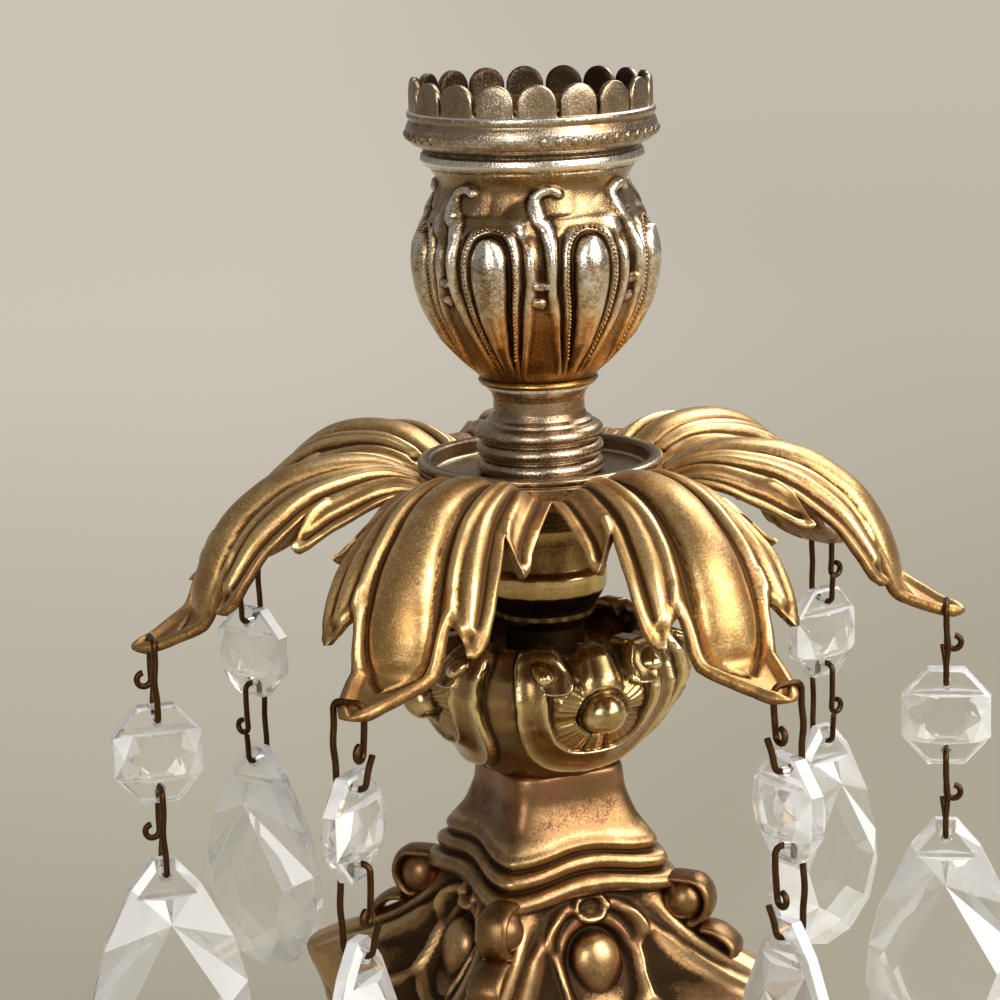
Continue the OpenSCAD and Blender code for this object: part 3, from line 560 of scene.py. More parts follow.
# The rim is rounded, and dips a little beside each shell
dip = 1.5 * soft_bump(np.abs(turn) - 13, 9) + 0.7 * smooth(np.abs(turn), [[31, 0], [38, 1]])
lip = np.clip((up - VASE_H + LIP) / LIP, 0, 1)
vase_r -= VASE_WALL * 0.5 * (1 - np.sqrt(1 - 0.98 * lip ** 2))
sunk = dip * np.clip(level - DIP_FROM, 0, 1) / (1 - DIP_FROM)
outer = polar(vase_r, angles[None, :] + BASE_TURN, VASE_Z + up - sunk)
inner = []
for share in (1, 0.9, 0.8, 0.5, 0.3, VASE_FLOOR / VASE_H):
    low = VASE_Z + share * VASE_H - dip[0] * max(share - DIP_FROM, 0) / (1 - DIP_FROM)
    inner.append(polar(smooth(np.full(VASE_COLUMNS, share), VASE_PROFILE) - VASE_WALL, angles + BASE_TURN, low))
for height in (VASE_FLOOR, 0):
    inner.append(polar(ROD_HOLE_R, angles + BASE_TURN, VASE_Z + height))
YELLOW_BRONZE = aged_metal("vase_bronze", (226, 202, 148), (168, 138, 90), (72, 54, 34),
                           (150, 102, 78), rough=0.24, grain=0.3, mottle=0.35, depth_share=0.8)
vase = dressed(cast("vase_bulb", outer, vase_depth, inner, 0.1), YELLOW_BRONZE)
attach(vase, "stand")
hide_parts("vase_knop")

# Stem: one brass turning, polished once and now yellow-brown. Its spindle stands in the vase, and its bell
# carries the dish.
STEM_Z = 73.0
STEM_PROFILE = [(ROD_HOLE_R, 0), (8, 0), (8, 2), (6.6, 3.0), (5.9, 4.4), (5.7, 6.2), (5.7, 17.4), (7.2, 18.8),
                (7.2, 19.8), (8.3, 21.6), (9.0, 22.8), (9.2, 24.4), (9.2, 25.6), (8.2, 26.4), (8.0, 30), (8.5, 32.4),
                (9.6, 34.0), (10.4, 34.6), (13.5, 38.5), (ROD_HOLE_R, 38.5)]
ROUNDING = 0.22
LATHE_COLUMNS = 192


def eased(profile, radius):
    """A closed profile with each corner rounded off."""
    out = []
    count = len(profile)
    for k in range(count):
        before, at, after = (np.array(profile[(k + step) % count], float) for step in (-1, 0, 1))
        back, ahead = before - at, after - at
        reach = min(radius, 0.4 * np.linalg.norm(back), 0.4 * np.linalg.norm(ahead))
        start = at + back / np.linalg.norm(back) * reach
        end = at + ahead / np.linalg.norm(ahead) * reach
        out += [start * (1 - t) ** 2 + 2 * at * t * (1 - t) + end * t * t for t in (0, 0.33, 0.67, 1)]
    return np.array(out)


def lathe(name, profile, z, rounding=ROUNDING, relief=1.0):
    """A turned piece: a closed profile of [radius, height] points, anticlockwise, spun round the stem."""
    outline = eased(profile, rounding)
    angle = ring_of(LATHE_COLUMNS)
    rings = np.array([polar(r, angle, z + h) for r, h in outline])
    radius = outline[:, 0]
    near = np.mean([np.roll(radius, k) for k in range(-6, 7)], axis=0)
    depth = np.repeat(relief * np.clip(near - radius, -0.4, 0.4)[:, None], LATHE_COLUMNS, axis=1)
    return shell(name, rings, depth, closed=True)


TURNED_BRASS = aged_metal("turned_brass", (220, 192, 138), (164, 132, 82), (76, 54, 30),
                          (152, 108, 70), rough=0.25, grain=0.3, mottle=0.35, depth_share=0.6)
stem = dressed(lathe("stem_turning", STEM_PROFILE, STEM_Z), TURNED_BRASS)
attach(stem, "stand")
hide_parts("stem_knop")

# Drip dish: a shallow tray turned from brass, its broad rim gone grey-brown and its wall red where it was
# heated to solder the leaves on.
DISH_Z = 111.5
DISH_R = 17.55
DISH_PROFILE = [(ROD_HOLE_R, 0), (17.1, 0), (DISH_R, 0.4), (DISH_R, 2.1), (17.2, 2.4), (DISH_R, 2.7), (DISH_R, 3.2),
                (17.2, 3.5), (15.9, 3.5), (15.55, 3.2), (15.55, 1.5), (15.2, 1.2), (ROD_HOLE_R, 1.2)]
DISH_BRONZE = aged_metal("dish_bronze", (176, 156, 126), (124, 102, 76), (66, 47, 34),
                         (136, 94, 72), rough=0.3, grain=0.4, mottle=0.4, depth_share=0.6)
dish = dressed(lathe("dish_turning", DISH_PROFILE, DISH_Z, rounding=0.18), DISH_BRONZE)
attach(dish, "stand")
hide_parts("drip_dish")

# Leaves: seven thin brass castings, gilded and rubbed, soldered to the dish at their roots. A convex tongue runs
# down the middle of each, two fingers with raised rims end one after the other beside it, and the tip is a spoon.
RIM_Z = 115.0
LEAF_COUNT = 7
LEAF_SHIFT = [-2, 2.8, 1.9, -2, -0.5, 0, 1.1]
HOOK_SIDE = [-1, 1, -1, 1, 1, -1, 1]
# How far the body of each leaf was bent away from its tip, in degrees, and how much of that along the spine
TIP_TURN = [2.2, 2.2, 0, 0, 0, 0, 0]
TURN_SHARE = [[8, 1], [9.2, 0]]
LEAF_T = 1.05
# The spine: distance out from the dish and up from its rim
LEAF_SPINE = np.array([
    [0, -2.2], [6.5, 0.85], [13.4, 1.2], [19.65, -0.25], [24.2, -3], [27.45, -6.1], [30, -10.3], [31.7, -14.4],
    [33.3, -18.9], [38, -21.4], [42.45, -22.3]])
LEAF_BEND = [[-0.6, 0.012], [0.3, 0.022], [1, 0.04], [2, 0.06], [3, 0.06], [4, 0.05], [5.5, 0.035], [7, 0.02],
             [8, -0.02], [8.7, -0.07], [10, -0.1]]
# Rows of a leaf: place on the spine, half-width round the arch, and how far the ends of the row sweep on
LEAF_EDGE = np.array([
    [-0.6, 9.2, 0], [0, 10.2, 0.2], [0.4, 11.6, 0.5], [1.2, 14, 1.1], [1.75, 14.9, 1.45], [2.1, 15.3, 1.65],
    [2.3, 15.1, 1.8], [2.4, 14.5, 1.8], [2.5, 13.6, 1.4], [2.6, 12.4, 0.95], [2.7, 11.1, 0.5], [2.75, 10.3, 0.25],
    [3.2, 11, 0.35], [3.8, 11.7, 0.55], [4.9, 12.2, 0.95], [5.5, 12, 1.2], [5.8, 11.4, 1.35], [5.95, 10.7, 1.4],
    [6.02, 9.9, 1.3], [6.1, 9.2, 0.9], [6.2, 8.2, 0.5], [6.32, 7, 0.12], [6.5, 6.7, 0.05], [7, 6.5, 0],
    [7.5, 6.4, 0], [8, 5.9, 0], [8.4, 5.2, 0], [8.8, 4.2, 0], [9.1, 3.4, 0], [9.4, 2.75, 0], [9.7, 2.0, 0],
    [9.88, 1.35, 0], [9.96, 0.8, 0], [10, 0.2, 0]])
SWEEP_POWER = 4
TONGUE_HALF = [[-0.6, 2.0], [0, 2.3], [3, 3.1], [4, 3.3], [5.6, 4.0], [6.7, 4.2], [7.5, 3.7], [8, 2.4], [8.3, 0.1],
               [10, 0.1]]
TONGUE_RISE = [[-0.6, 0.6], [0, 0.8], [3, 1.4], [6, 1.65], [7.5, 1.3], [8.3, 0], [10, 0]]
# Ridges of the right half: height, half-width, and their line as [place on the spine, distance round the arch]
LEAF_RIDGES = [
    (0.75, 1.2, [(-0.6, 2.9), (0, 3.3), (2.5, 4.9), (4, 5.6), (5.4, 6.3), (6, 6.6), (6.4, 6.2), (6.9, 5.8),
                 (7.5, 5.6), (8, 5.1), (8.4, 4.4), (8.8, 3.4), (9.1, 2.6), (9.4, 1.9), (9.7, 1.2), (10, 0.4)]),
    (0.3, 0.9, [(5.6, 6.6), (6.2, 7.5), (6.6, 8.4), (7.1, 9.5), (7.3, 9.8)]),
    (0.3, 1.1, [(-0.6, 4.4), (0.5, 6.3), (1.5, 8.2), (2.4, 9.6), (2.85, 10), (3.85, 11.2), (4.9, 11.7), (5.7, 11.7),
                (6.4, 11.4), (7, 10.6), (7.3, 9.9)]),
    (0.45, 0.9, [(2.5, 9.7), (2.9, 10.6), (3.3, 11.7), (3.8, 13.1), (4.15, 14.3)]),
    (0.45, 1.1, [(-0.6, 8.4), (0.5, 10.9), (1.5, 12.8), (2.3, 13.9), (3, 14.6), (3.6, 14.9), (4.15, 14.3)]),
    (0.8, 2.0, [(0.4, 4.9), (2.4, 6.6), (4, 7.8), (5.4, 8.7), (6.4, 9.3)])]
LEAF_GROOVES = [
    (0.5, 0.75, [(-0.6, 2.5), (0, 2.8), (3, 3.9), (4, 4.2), (5.6, 4.8), (6.7, 4.9), (7.5, 4.4), (8, 3.3),
                 (8.45, 0.6)]),
    (0.5, 0.75, [(0.2, 5.2), (1.5, 7), (2.6, 8.2), (4, 9.6), (5.4, 10.3), (6.4, 10.4)]),
    (0.55, 0.8, [(-0.6, 6), (0, 7.4), (0.8, 9.6), (1.8, 11.5), (2.8, 12.9), (3.6, 13.8)])]
LEAF_HALF_COLUMNS = 46
# Rows lie closer together where a finger ends
LEAF_SPANS = [(-0.6, 1.6, 33), (1.6, 2.3, 13), (2.3, 2.8, 23), (2.8, 5.6, 43), (5.6, 6.4, 33), (6.4, 10, 63)]
TIP_END = 10.02
TIP_ROUND = 0.35


def spine_at(place):
    """Points of the spine, by a smooth curve through its knots."""
    before, after = 2 * LEAF_SPINE[0] - LEAF_SPINE[1], 2 * LEAF_SPINE[-1] - LEAF_SPINE[-2]
    knots = np.concatenate([[before], LEAF_SPINE, [after]])
    i = np.clip(np.floor(place).astype(int), 0, len(LEAF_SPINE) - 2)
    t = (place - i)[..., None]
    a, b, c, d = (knots[i + k] for k in range(4))
    return 0.5 * (2 * b + (c - a) * t + (2 * a - 5 * b + 4 * c - d) * t ** 2 + (3 * b - a - 3 * c + d) * t ** 3)


def leaf_points(place, arch, lift):
    """Points of a leaf along +X: place on the spine, distance round the arch, and height off the surface."""
    at = spine_at(place)
    along = spine_at(place + 0.05) - spine_at(place - 0.05)
    along = along / np.linalg.norm(along, axis=-1, keepdims=True)
    bend = straight(place, LEAF_BEND)
    bend = np.where(np.abs(bend) < 1e-4, 1e-4, bend)
    turn = arch * bend
    height = lift * np.cos(turn) - (1 - np.cos(turn)) / bend
    out = DISH_R + at[..., 0] - height * along[..., 1]
    aside = np.sin(turn) / bend + lift * np.sin(turn)
    return np.stack([out, aside, RIM_Z + at[..., 1] + height * along[..., 0]], axis=-1)


stations = np.linspace(-0.8, 10.2, 441)
lengths = np.stack([stations, run_along(spine_at(stations))], axis=-1)
rows = over_spans(LEAF_SPANS)
place, share = np.meshgrid(rows, np.linspace(0, 1, LEAF_HALF_COLUMNS), indexing="ij")
arch = share * straight(place, LEAF_EDGE[:, [0, 1]])
swept = place + straight(place, LEAF_EDGE[:, [0, 2]]) * share ** SWEEP_POWER
lift = smooth(swept, TONGUE_RISE) * bump(arch, smooth(swept, TONGUE_HALF)) ** 1.2
run = straight(swept, lengths)
for sign, lines in ((1, LEAF_RIDGES), (-1, LEAF_GROOVES)):
    for height, half, knots in lines:
        knots = [(straight(u, lengths), s) for u, s in knots]
        off_line = to_path(run, arch, rounded_path(knots, 60))
        lift += sign * height * soft_bump(off_line, half)
# The tip is rounded off
tip = np.sqrt(np.clip((TIP_END - swept) / TIP_ROUND, 0.01, 1))
lift = lift * tip
leaf_t = LEAF_T * tip
upper = leaf_points(swept, arch, lift)
under = leaf_points(swept, arch, np.minimum(lift, 0.3) * 0.5 - leaf_t)
leaf_depth = hollows(np.concatenate([lift[:, :0:-1], lift], axis=1), 2, around=False)
# A row runs from the far edge over the top to the near edge, round it, and back underneath
mirror = np.array([1, -1, 1])
round_out = leaf_points(swept[:, -1:], arch[:, -1:] + 0.2 * tip[:, -1:], lift[:, -1:] - 0.45 * leaf_t[:, -1:])
loop = np.concatenate([(upper * mirror)[:, :0:-1], upper, round_out, under[:, ::-1], (under * mirror)[:, 1:],
                       round_out * mirror], axis=1)
# The underside is painted a little darker, as shade
under_shade = np.full((len(rows), loop.shape[1] - leaf_depth.shape[1]), 0.15)
leaf_depth = np.concatenate([leaf_depth, under_shade], axis=1)
GILT = aged_metal("gilt_brass", (228, 192, 134), (170, 131, 80), (86, 60, 34),
                  (158, 114, 80), rough=0.4, mottle=0.45, depth_share=0.95)
leaf_angles = [(i - 0.5) * 360 / LEAF_COUNT + LEAF_SHIFT[i] for i in range(LEAF_COUNT)]
for i, (angle, side) in enumerate(zip(leaf_angles, HOOK_SIDE)):
    body_turn = side * TIP_TURN[i] * straight(rows, TURN_SHARE)[:, None]
    rings = turned_to(loop, angle - body_turn, side)
    leaf = dressed(shell(f"leaf_casting_{i + 1}", rings[:, ::-side], leaf_depth[:, ::-side], caps=True), GILT)
    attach(leaf, "stand")
    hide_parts(f"leaf_{i + 1}")

# Collar: a spool turned in brass with three rounded rings, silvered once; its neck is brown with patina and painted
# shade.
# It stands on the floor of the dish and carries the cup.
COLLAR_Z = 112.7
RING_STEP = 2.4
COLLAR_PROFILE = [(ROD_HOLE_R, 0), (7.95, 0)]
for ring in range(3):
    middle = RING_STEP * (ring + 0.5)
    COLLAR_PROFILE += [(7.9 + 1.2 * math.cos(a), middle + 1.15 * math.sin(a)) for a in np.linspace(-1.35, 1.35, 11)]
COLLAR_PROFILE += [(7.7, 7.25), (7.55, 7.7), (6.9, 8.1), (6.5, 9.0), (6.5, 10.8), (6.8, 11.7), (7.4, 12.4), (7.4, 13),
                   (ROD_HOLE_R, 13)]
SILVERED = aged_metal("worn_silver", (238, 230, 218), (158, 137, 111), (58, 43, 30),
                      (134, 102, 68), rough=0.26, grain=0.6, speck=0.3, mottle=0.5, depth_share=0.9)
collar = dressed(lathe("collar_turning", COLLAR_PROFILE, COLLAR_Z, rounding=0.1, relief=0.45), SILVERED)
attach(collar, "stand")
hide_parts("ringed_collar")

# Candle cup: a thin cast bulb, silvered and worn. Seven smooth teardrops stand over the leaves, each in a row of
# pearls between ribs, and a curled scroll rises between every two on the waisted neck.
CUP_Z = 125.7
CUP_H = 30.8
CUP_LOBES = 7
CUP_PROFILE = [[0, 8.2], [0.9, 8.2], [1.3, 8.5], [2.8, 10.3], [6.1, 13.1], [9, 15.2], [12, 16.7], [15.3, 17.6],
               [18.3, 17.9], [20.5, 17.6], [22.4, 16.5], [24, 14.9], [25.4, 13.8], [28.4, 13.2], [30.8, 14.4]]
LOBE_DEPTH = [[1.3, 0], [4, 0.6], [9, 1.5], [20.5, 1.6], [23.5, 0.5], [24.6, 0]]
# Half-width of a teardrop by height
TEARDROP = [[2.2, 0.6], [5, 1.1], [9, 1.9], [13, 2.5], [17, 2.95], [19.5, 2.85], [21.2, 2.2], [22.2, 1.1],
            [22.5, 0.1]]
# The scroll between two teardrops: distance to the right of its middle and height over the cup's foot
CUP_SCROLL = [(1.3, 12.5), (1.65, 17), (1.5, 20.6), (0.9, 23.4), (-0.3, 25.6), (-0.6, 27.2), (0.2, 28.4),
              (1.6, 28.7), (2.6, 28.3)]
SCROLL_HALF = [[12.5, 0.5], [17, 0.75], [22, 0.95], [26, 0.9], [28, 0.7], [28.7, 0.5]]
SCROLL_RISE = [[12.5, 0.2], [17, 0.5], [22, 0.9], [25, 1.1], [28.7, 0.8]]
RIB_REACH = [[2, 0.35], [9, 0.75], [16, 1], [24, 1]]
# Grooves and ribs beside a teardrop: rise, distance off it and half-width
CUP_RIBS = [(-0.35, 0.35, 0.45), (0.55, 1.25, 1.0), (-0.3, 2.3, 0.5)]
LINER_R = 11.95
LINER_FLOOR = 11.85
POCKET_R = 5.2
POCKET_FLOOR = 4.95
CUP_MOST_R = 17.95
CUP_COLUMNS = CUP_LOBES * 54
CUP_ROWS = 168
angles = ring_of(CUP_COLUMNS)
turn, level = np.meshgrid(angles, np.linspace(0, CUP_H, CUP_ROWS))
lobe_turn = fold(turn - 180 / CUP_LOBES, CUP_LOBES)
scroll_turn = fold(turn, CUP_LOBES)
profile_r = smooth(level, CUP_PROFILE)
field_r = profile_r - smooth(level, LOBE_DEPTH)
across = np.abs(profile_r * np.radians(lobe_turn))
half = smooth(level, TEARDROP)
drop_side = [(w, y) for y, w in TEARDROP]
off_drop = to_path(across, level, rounded_path(drop_side, 40))
outside = np.where((across > half) | (level > TEARDROP[-1][0]) | (level < TEARDROP[0][0]), 1, -1)
off_drop = off_drop * outside
swell = 1.6 * smooth(level, [[2.2, 0], [7, 1]])
cup_r = field_r + swell * (outside < 0) * bump(across, np.maximum(half, 0.05)) ** 1.2
in_field = straight(level, [[1.6, 0], [6, 1], [22, 1], [24, 0]])
rib_reach = straight(level, RIB_REACH)
for rise, off, rib_half in CUP_RIBS:
    cup_r += in_field * rise * soft_bump(off_drop - off * rib_reach, rib_half * rib_reach)
to_top = straight(level, [[20, 1], [22.4, 0]])
cup_r += in_field * 0.6 * soft_bump(off_drop - 3.5 * rib_reach, 1.3 * rib_reach) * to_top
beside = profile_r * np.radians(scroll_turn)
line = to_path(beside, level, rounded_path(CUP_SCROLL, 40))
# The broad fold at the left of each scroll, and the step at its right
fold_off = np.hypot((beside + 2.3) / 3.6, (level - 25.2 - 0.35 * beside) / 3.4)
cup_r += 1.1 * soft_bump(fold_off, 1.0)
step_share = smooth(beside, [[-0.4, 0], [1.2, 1], [2.8, 1], [5.4, 0]])
cup_r += 0.45 * step_share * smooth(level, [[24.9, 0], [25.5, 1], [27.4, 0.9], [29.6, 0]])
cup_r += straight(level, SCROLL_RISE) * bump(line, 1.25 * straight(level, SCROLL_HALF)) ** 1.4
for x, y in ((0.0, 15.8), (-0.3, 13.4)):
    cup_r += 0.6 * bump(np.hypot((beside - x) / 1.1, (level - y) / 0.8), 1.0)
cup_r += 0.35 * soft_bump(level - 0.5, 0.5)
cup_depth = np.clip(hollows(cup_r, 2), -0.22, 1) * straight(level, [[28, 1], [30, 0.4]])
outer = polar(np.minimum(cup_r, CUP_MOST_R), angles[None, :], CUP_Z + level)
inner = []
for radius, height in ((LINER_R, CUP_H), (LINER_R, LINER_FLOOR), (POCKET_R, LINER_FLOOR), (POCKET_R, POCKET_FLOOR),
                       (ROD_HOLE_R, POCKET_FLOOR), (ROD_HOLE_R, 0)):
    inner.append(polar(radius, angles, CUP_Z + height))
cup_mesh = cast("cup_casting", outer, cup_depth, inner, 0.2)

# The pearls round each teardrop
CUP_PEARL_R = 0.28
PEARL_STEP = 0.62
PEARL_OFF = 1.15
outline = rounded_path(drop_side, 200)
normal = np.gradient(outline, axis=0)
normal = np.stack([normal[:, 1], -normal[:, 0]], axis=-1) / np.linalg.norm(normal, axis=1)[:, None]
beaded = outline + normal * PEARL_OFF * straight(outline[:, 1], RIB_REACH)[:, None]
beaded = beaded[(beaded[:, 1] > 5) & (beaded[:, 0] > 0.05)]
run = run_along(beaded)
stops = np.arange(0, run[-1], PEARL_STEP)
pearl_x, pearl_y = (np.interp(stops, run, beaded[:, k]) for k in (0, 1))
radius = smooth(pearl_y, CUP_PROFILE)
seat = radius - smooth(pearl_y, LOBE_DEPTH) + 0.5
pearl_points = []
for lobe in range(CUP_LOBES):
    middle = (lobe + 0.5) * 360 / CUP_LOBES
    for side in (-1, 1):
        pearl_points.append(polar(seat, middle + side * np.degrees(pearl_x / radius), CUP_Z + pearl_y))
pearl_points = np.concatenate(pearl_points)
pearl_mesh = shell("pearl", ball((0, 0, 0), (1, 1, 1), columns=8, rows=5), caps=True)


def baked(holder):
    """The mesh that an object's curve or modifier makes. The object itself goes."""
    made = bpy.data.meshes.new_from_object(holder.evaluated_get(bpy.context.evaluated_depsgraph_get()))
    bpy.data.objects.remove(holder)
    return made


def repeated(name, piece, points, turns, scale, material):
    """Copies of a piece on points, turned about Z, made by a node tree: placed, made real, with their metal."""
    cloud = bpy.data.meshes.new(name)
    cloud.from_pydata((np.asarray(points) * MM).tolist(), [], [])
    angle = cloud.attributes.new("turn", "FLOAT_VECTOR", "POINT")
    angle.data.foreach_set("vector", np.stack([0 * turns, 0 * turns, np.radians(turns)], axis=-1).ravel())
    holder = link(name, cloud)
    pattern = link(name + "_piece", piece)
    tree = bpy.data.node_groups.new(name, "GeometryNodeTree")
    tree.interface.new_socket("Geometry", in_out="INPUT", socket_type="NodeSocketGeometry")
    shape = tree.interface.new_socket("Piece", in_out="INPUT", socket_type="NodeSocketObject")
    size = tree.interface.new_socket("Size", in_out="INPUT", socket_type="NodeSocketFloat")
    tree.interface.new_socket("Geometry", in_out="OUTPUT", socket_type="NodeSocketGeometry")
    start = tree.nodes.new("NodeGroupInput")
    model = tree.nodes.new("GeometryNodeObjectInfo")
    facing = tree.nodes.new("GeometryNodeInputNamedAttribute")
    facing.data_type = "FLOAT_VECTOR"
    facing.inputs["Name"].default_value = "turn"
    spread = tree.nodes.new("GeometryNodeInstanceOnPoints")
    real = tree.nodes.new("GeometryNodeRealizeInstances")
    metal = tree.nodes.new("GeometryNodeSetMaterial")
    metal.inputs["Material"].default_value = material
    end = tree.nodes.new("NodeGroupOutput")
    for source, out, target, into in (
            (start, "Piece", model, "Object"), (start, "Geometry", spread, "Points"),
            (model, "Geometry", spread, "Instance"), (facing, "Attribute", spread, "Rotation"),
            (start, "Size", spread, "Scale"), (spread, "Instances", real, "Geometry"),
            (real, "Geometry", metal, "Geometry"), (metal, "Geometry", end, "Geometry")):
        tree.links.new(source.outputs[out], target.inputs[into])
    modifier = holder.modifiers.new(name, "NODES")
    modifier.node_group = tree
    modifier[shape.identifier] = pattern
    modifier[size.identifier] = scale
    made = baked(holder)
    bpy.data.objects.remove(pattern)
    return made


CUP_SILVER = aged_metal("cup_silver", (236, 226, 210), (146, 118, 82), (52, 37, 24),
                        (124, 90, 54), rough=0.25, grain=0.6, speck=0.3, mottle=0.55, depth_share=0.9,
                        foot=((152, 106, 50), (206, 162, 96), 126, 146))
cup_mesh.materials.append(CUP_SILVER)
cup_pearls = repeated("cup_pearls", pearl_mesh, pearl_points, np.zeros(len(pearl_points)), CUP_PEARL_R, CUP_SILVER)
cup = joined("cup_casting", [cup_mesh, cup_pearls])
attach(cup, "stand")
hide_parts("candle_cup")

# Crown: a turned ring with a row of pearls, and eighteen flat tabs sawn round its edge. The pearls at the
# front left are worn nearly flat.
CROWN_Z = 156.5
CROWN_H = 8
CROWN_PROFILE = [(LINER_R, 0), (14.3, 0), (15.2, 0.4), (15.7, 1.1), (15.6, 1.9), (15.2, 2.3), (15.4, 2.7),
                 (16.2, 3.1), (16.8, 3.4), (17.2, 3.8), (17.5, 4.3), (17.65, 4.9), (17.6, 5.5), (17.4, 6.1),
                 (17.2, 6.5), (17.15, 6.75), (17.3, 7.0), (17.4, 7.3), (17.35, 7.75), (17.05, CROWN_H),
                 (LINER_R, CROWN_H)]
CROWN_PEARLS = 50
CROWN_PEARL_R = 0.8
CROWN_PEARL_Z = 4.7
TAB_COUNT = 18
TAB_W = 5.3
TAB_H = 4.3
TAB_OUT_R = 16.9
ring_mesh = lathe("crown_ring", CROWN_PROFILE, CROWN_Z, rounding=0.12)
ring_mesh.materials.append(SILVERED)
pearl_angles = ring_of(CROWN_PEARLS) + 2
worn = np.abs(fold(pearl_angles + 28, 1)) < 24
seat = np.where(worn, 16.85, 17.15)
seats = polar(seat, pearl_angles, CROWN_Z + CROWN_PEARL_Z)
crown_pearls = repeated("crown_pearls", pearl_mesh, seats, 0 * pearl_angles, CROWN_PEARL_R, SILVERED)

TAB_R = TAB_W / 2
TAB_SUNK = 0.6
# A tab's rings from back to front: their size and their depth
TAB_RINGS = ((0.7, 0), (0.94, 0), (1, 0.12), (1, 0.78), (0.96, 0.95), (0.91, 1.0), (0.5, 1.03), (0.02, 1.04))
TAB_T = TAB_RINGS[-1][1]
round_top = [(TAB_R * math.cos(a), TAB_H - TAB_R + TAB_R * math.sin(a)) for a in np.linspace(math.pi, 0, 25)]
outline = np.array([(-TAB_R, -TAB_SUNK), *round_top, (TAB_R, -TAB_SUNK)])
heart = np.array([0, 1.6])
tab_rings = []
for scale, depth in TAB_RINGS:
    flat_ring = heart + (outline - heart) * scale
    out = np.full(len(outline), TAB_OUT_R - TAB_T + depth)
    tab_rings.append(np.stack([out, flat_ring[:, 0], flat_ring[:, 1]], axis=-1))
# The back and back edge of each tab are painted darker, as shade
tab_back_shade = np.zeros((len(tab_rings), len(outline)))
tab_back_shade[:3] = 0.3
tab_mesh = shell("crown_tab", np.array(tab_rings)[:, ::-1], tab_back_shade, caps=True)
tab_turns = ring_of(TAB_COUNT)
tab_feet = polar(0, tab_turns, CROWN_Z + CROWN_H)
crown_tabs = repeated("crown_tabs", tab_mesh, tab_feet, tab_turns - 90, 1.0, SILVERED)
crown = joined("crown_ring", [ring_mesh, crown_pearls, crown_tabs])
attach(crown, "stand")
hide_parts("crown_gallery")

# Inside: the spun liner that holds the candle, and the rod, washer and nuts that clamp the stack.
# They are the solids as they are, in plain brass.
PLAIN_BRASS = aged_metal("inner_brass", (190, 156, 98), (128, 98, 56), (50, 34, 18),
                         (110, 74, 44), rough=0.38, grain=0.3)
for name in ("candle_socket", "threaded_rod", "base_washer", "base_nut", "top_nut"):
    nodes[name].data.materials.clear()
    nodes[name].data.materials.append(PLAIN_BRASS)

# Chains: each link is a length of brown wire bent round a former. Its ends hook through the leaf and the glass
# and lie past each other along one leg, one of them curled into an eye.
WIRE_R = 0.45
LINK_W = 4.4
HOOK_R = 57.4
CHAIN_T = 1.3
HOOK_Z = 94.15
UPPER_LINK_H = 11.5
LOWER_LINK_H = 12.6
LOWER_HOOK_Z = 72.55
WIRE_BROWN = aged_metal("wire", (120, 92, 60), (74, 50, 28), (30, 19, 11), (84, 52, 30),
                        rough=0.42, grain=0.4)


def link_path(height):
    """The bent wire, from its curled end over the top bar and through the bottom bar to its free end."""
    leg = LINK_W / 2
    turns = np.linspace(-4.6, 0, 14)
    eye = [(1.05 - math.cos(a), -leg + 0.25, -height * 0.55 + math.sin(a)) for a in turns]
    return [*eye, (0.05, -leg + 0.1, -height * 0.4), (0, -leg, -2.4), (0, -leg, -1), (0, -leg + 0.3, -0.3),
            (0, -leg + 1, 0), (0, 0, 0), (0, leg - 1, 0), (0, leg - 0.3, -0.3), (0, leg, -1), (0, leg, -2.6),
            (0.25, leg + 0.1, -height * 0.5), (0, leg, 2.6 - height), (0, leg, 1 - height),
            (0, leg - 0.3, 0.3 - height), (0, leg - 1, -height), (0, 0, -height), (0, 1 - leg, -height),
            (0, 0.3 - leg, 0.3 - height), (0, -leg, 1 - height), (-0.15, -leg - 0.2, 2.4 - height),
            (-0.5, -leg - 0.75, 4.6 - height)]


def wire_mesh(name, points):
    """Round wire along a path."""
    data = bpy.data.curves.new(name, "CURVE")
    data.dimensions = "3D"
    data.bevel_depth = WIRE_R * MM
    data.bevel_resolution = 3
    data.use_fill_caps = True
    path = rounded_path(points, 150)
    spline = data.splines.new("POLY")
    spline.points.add(len(path) - 1)
    spline.points.foreach_set("co", np.c_[path * MM, np.ones(len(path))].ravel())
    made = baked(link(name, data))
    made.shade_smooth()
    return made


for i, (angle, side) in enumerate(zip(leaf_angles, HOOK_SIDE)):
    for kind, height, top in (("upper", UPPER_LINK_H, HOOK_Z), ("lower", LOWER_LINK_H, LOWER_HOOK_Z)):
        name = f"{kind}_link_{i + 1}"
        local = np.array(link_path(height)) + np.array([HOOK_R, CHAIN_T, top])
        wire = link(f"{kind}_wire_{i + 1}", wire_mesh(name, turned_to(local, angle, side)))
        wire.data.materials.append(WIRE_BROWN)
        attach(wire, name)
        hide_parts(name)

# Glass: octagon beads and pear-shaped prisms, pressed, cut and polished. They are the solids with their facets and
# drilled ends, ground thinner, and fuller in the prisms' shoulders.
crystal, stone, clear = new_finish("cut_glass")
bright = stone.tree.nodes.new("ShaderNodeBsdfPrincipled")
for shader, through in ((clear, 0.99), (bright, 0.4)):
    stone.fill(shader, {"Base Color": (0.99, 0.99, 0.99, 1.0), "Roughness": 0.0, "IOR": 1.52,
                        "Transmission Weight": through, "Alpha": 0.94})
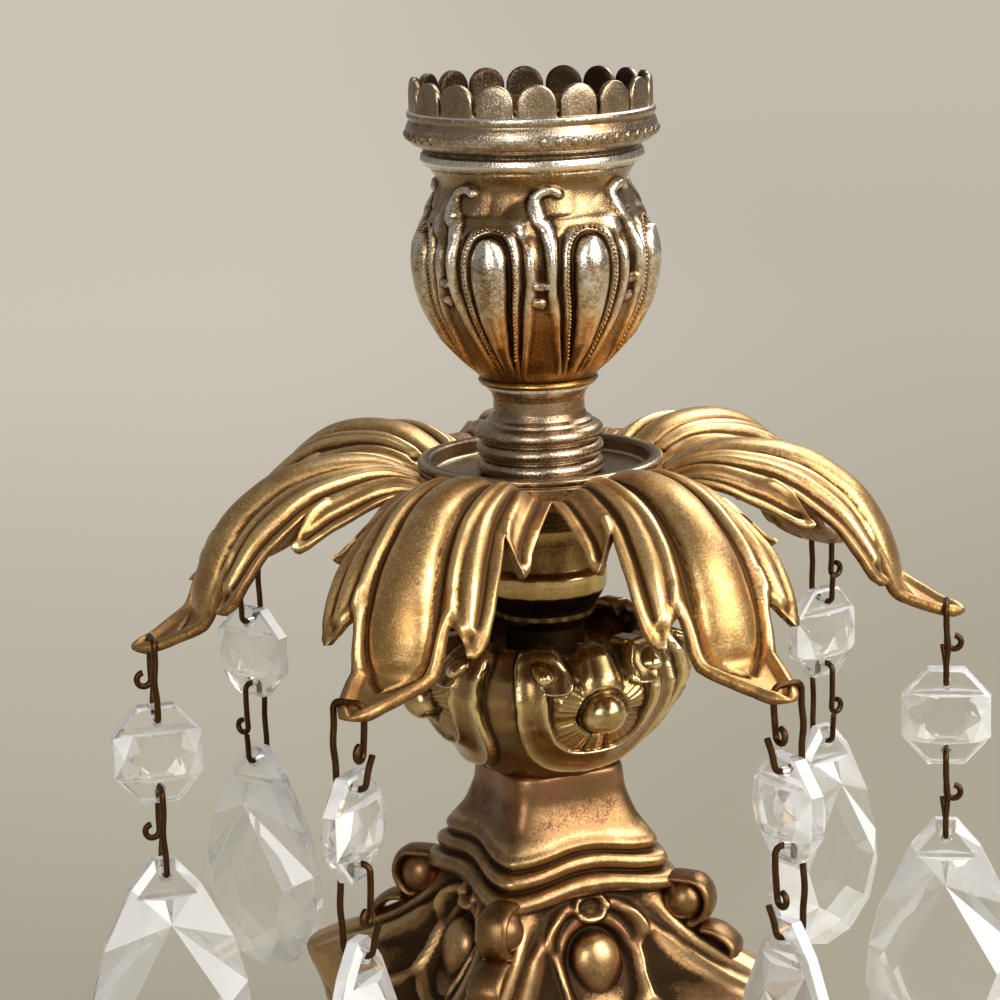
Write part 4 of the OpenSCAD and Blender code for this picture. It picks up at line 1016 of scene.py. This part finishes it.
# Painted glints: some of the cut facets are whiter and less clear, as if they caught the light
stone.blend_shaders(clear, bright, stone.add("Attribute", {"attribute_name": "spark"}, output=2))
BEAD_WIDTH = 0.9
BEAD_THICKNESS = 0.76
PRISM_THICKNESS = 0.86
PRISM_TOP_Z = 62.2
# By depth under a prism's top: how much wider its outline and its flat face are than the solid's
PRISM_FULL = [[0, 1], [4, 1.3], [12.8, 1.23], [19.7, 1.07], [25, 1]]
FACE_FULL = [[8, 1], [21.9, 1.45], [28.1, 1.3], [31.4, 1]]
FACE_FROM = 3.0
for i, (angle, side) in enumerate(zip(leaf_angles, HOOK_SIDE)):
    out, over = polar(1, angle + np.array([0, 90]), 0)
    middle = HOOK_R * out + CHAIN_T * side * over
    for kind in ("bead", "prism"):
        solid = nodes[f"{kind}_{i + 1}"]
        mesh = solid.data.copy()
        mesh.transform(solid.matrix_world)
        points = np.empty(3 * len(mesh.vertices))
        mesh.vertices.foreach_get("co", points)
        points = points.reshape(-1, 3) / MM - middle
        width, thickness, height = points @ out, points @ over, points[:, 2]
        if kind == "bead":
            wider, thicker = BEAD_WIDTH, BEAD_THICKNESS
        else:
            under = PRISM_TOP_Z - height
            wider = np.where(np.abs(thickness) > FACE_FROM, straight(under, FACE_FULL), straight(under, PRISM_FULL))
            thicker = PRISM_THICKNESS
        points = middle + np.outer(width * wider, out) + np.outer(thickness * thicker, over)
        points[:, 2] += height
        mesh.vertices.foreach_set("co", (points * MM).ravel())
        # Facets picked by the way they face get a painted glint
        normals = np.array([face.normal for face in mesh.polygons])
        lean = np.abs(normals @ over)
        lit = np.abs(np.sin(4 * normals @ out + 5 * normals[:, 2] + 2 * np.sign(normals @ over)))
        spark = mesh.attributes.new("spark", "FLOAT", "FACE")
        spark.data.foreach_set("value", (np.clip((0.97 - lean) * 12, 0, 1) * lit ** 2).astype(np.float32))
        mesh.materials.clear()
        mesh.materials.append(crystal)
        piece = link(f"{kind}_glass_{i + 1}", mesh)
        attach(piece, f"{kind}_{i + 1}")
        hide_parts(f"{kind}_{i + 1}")
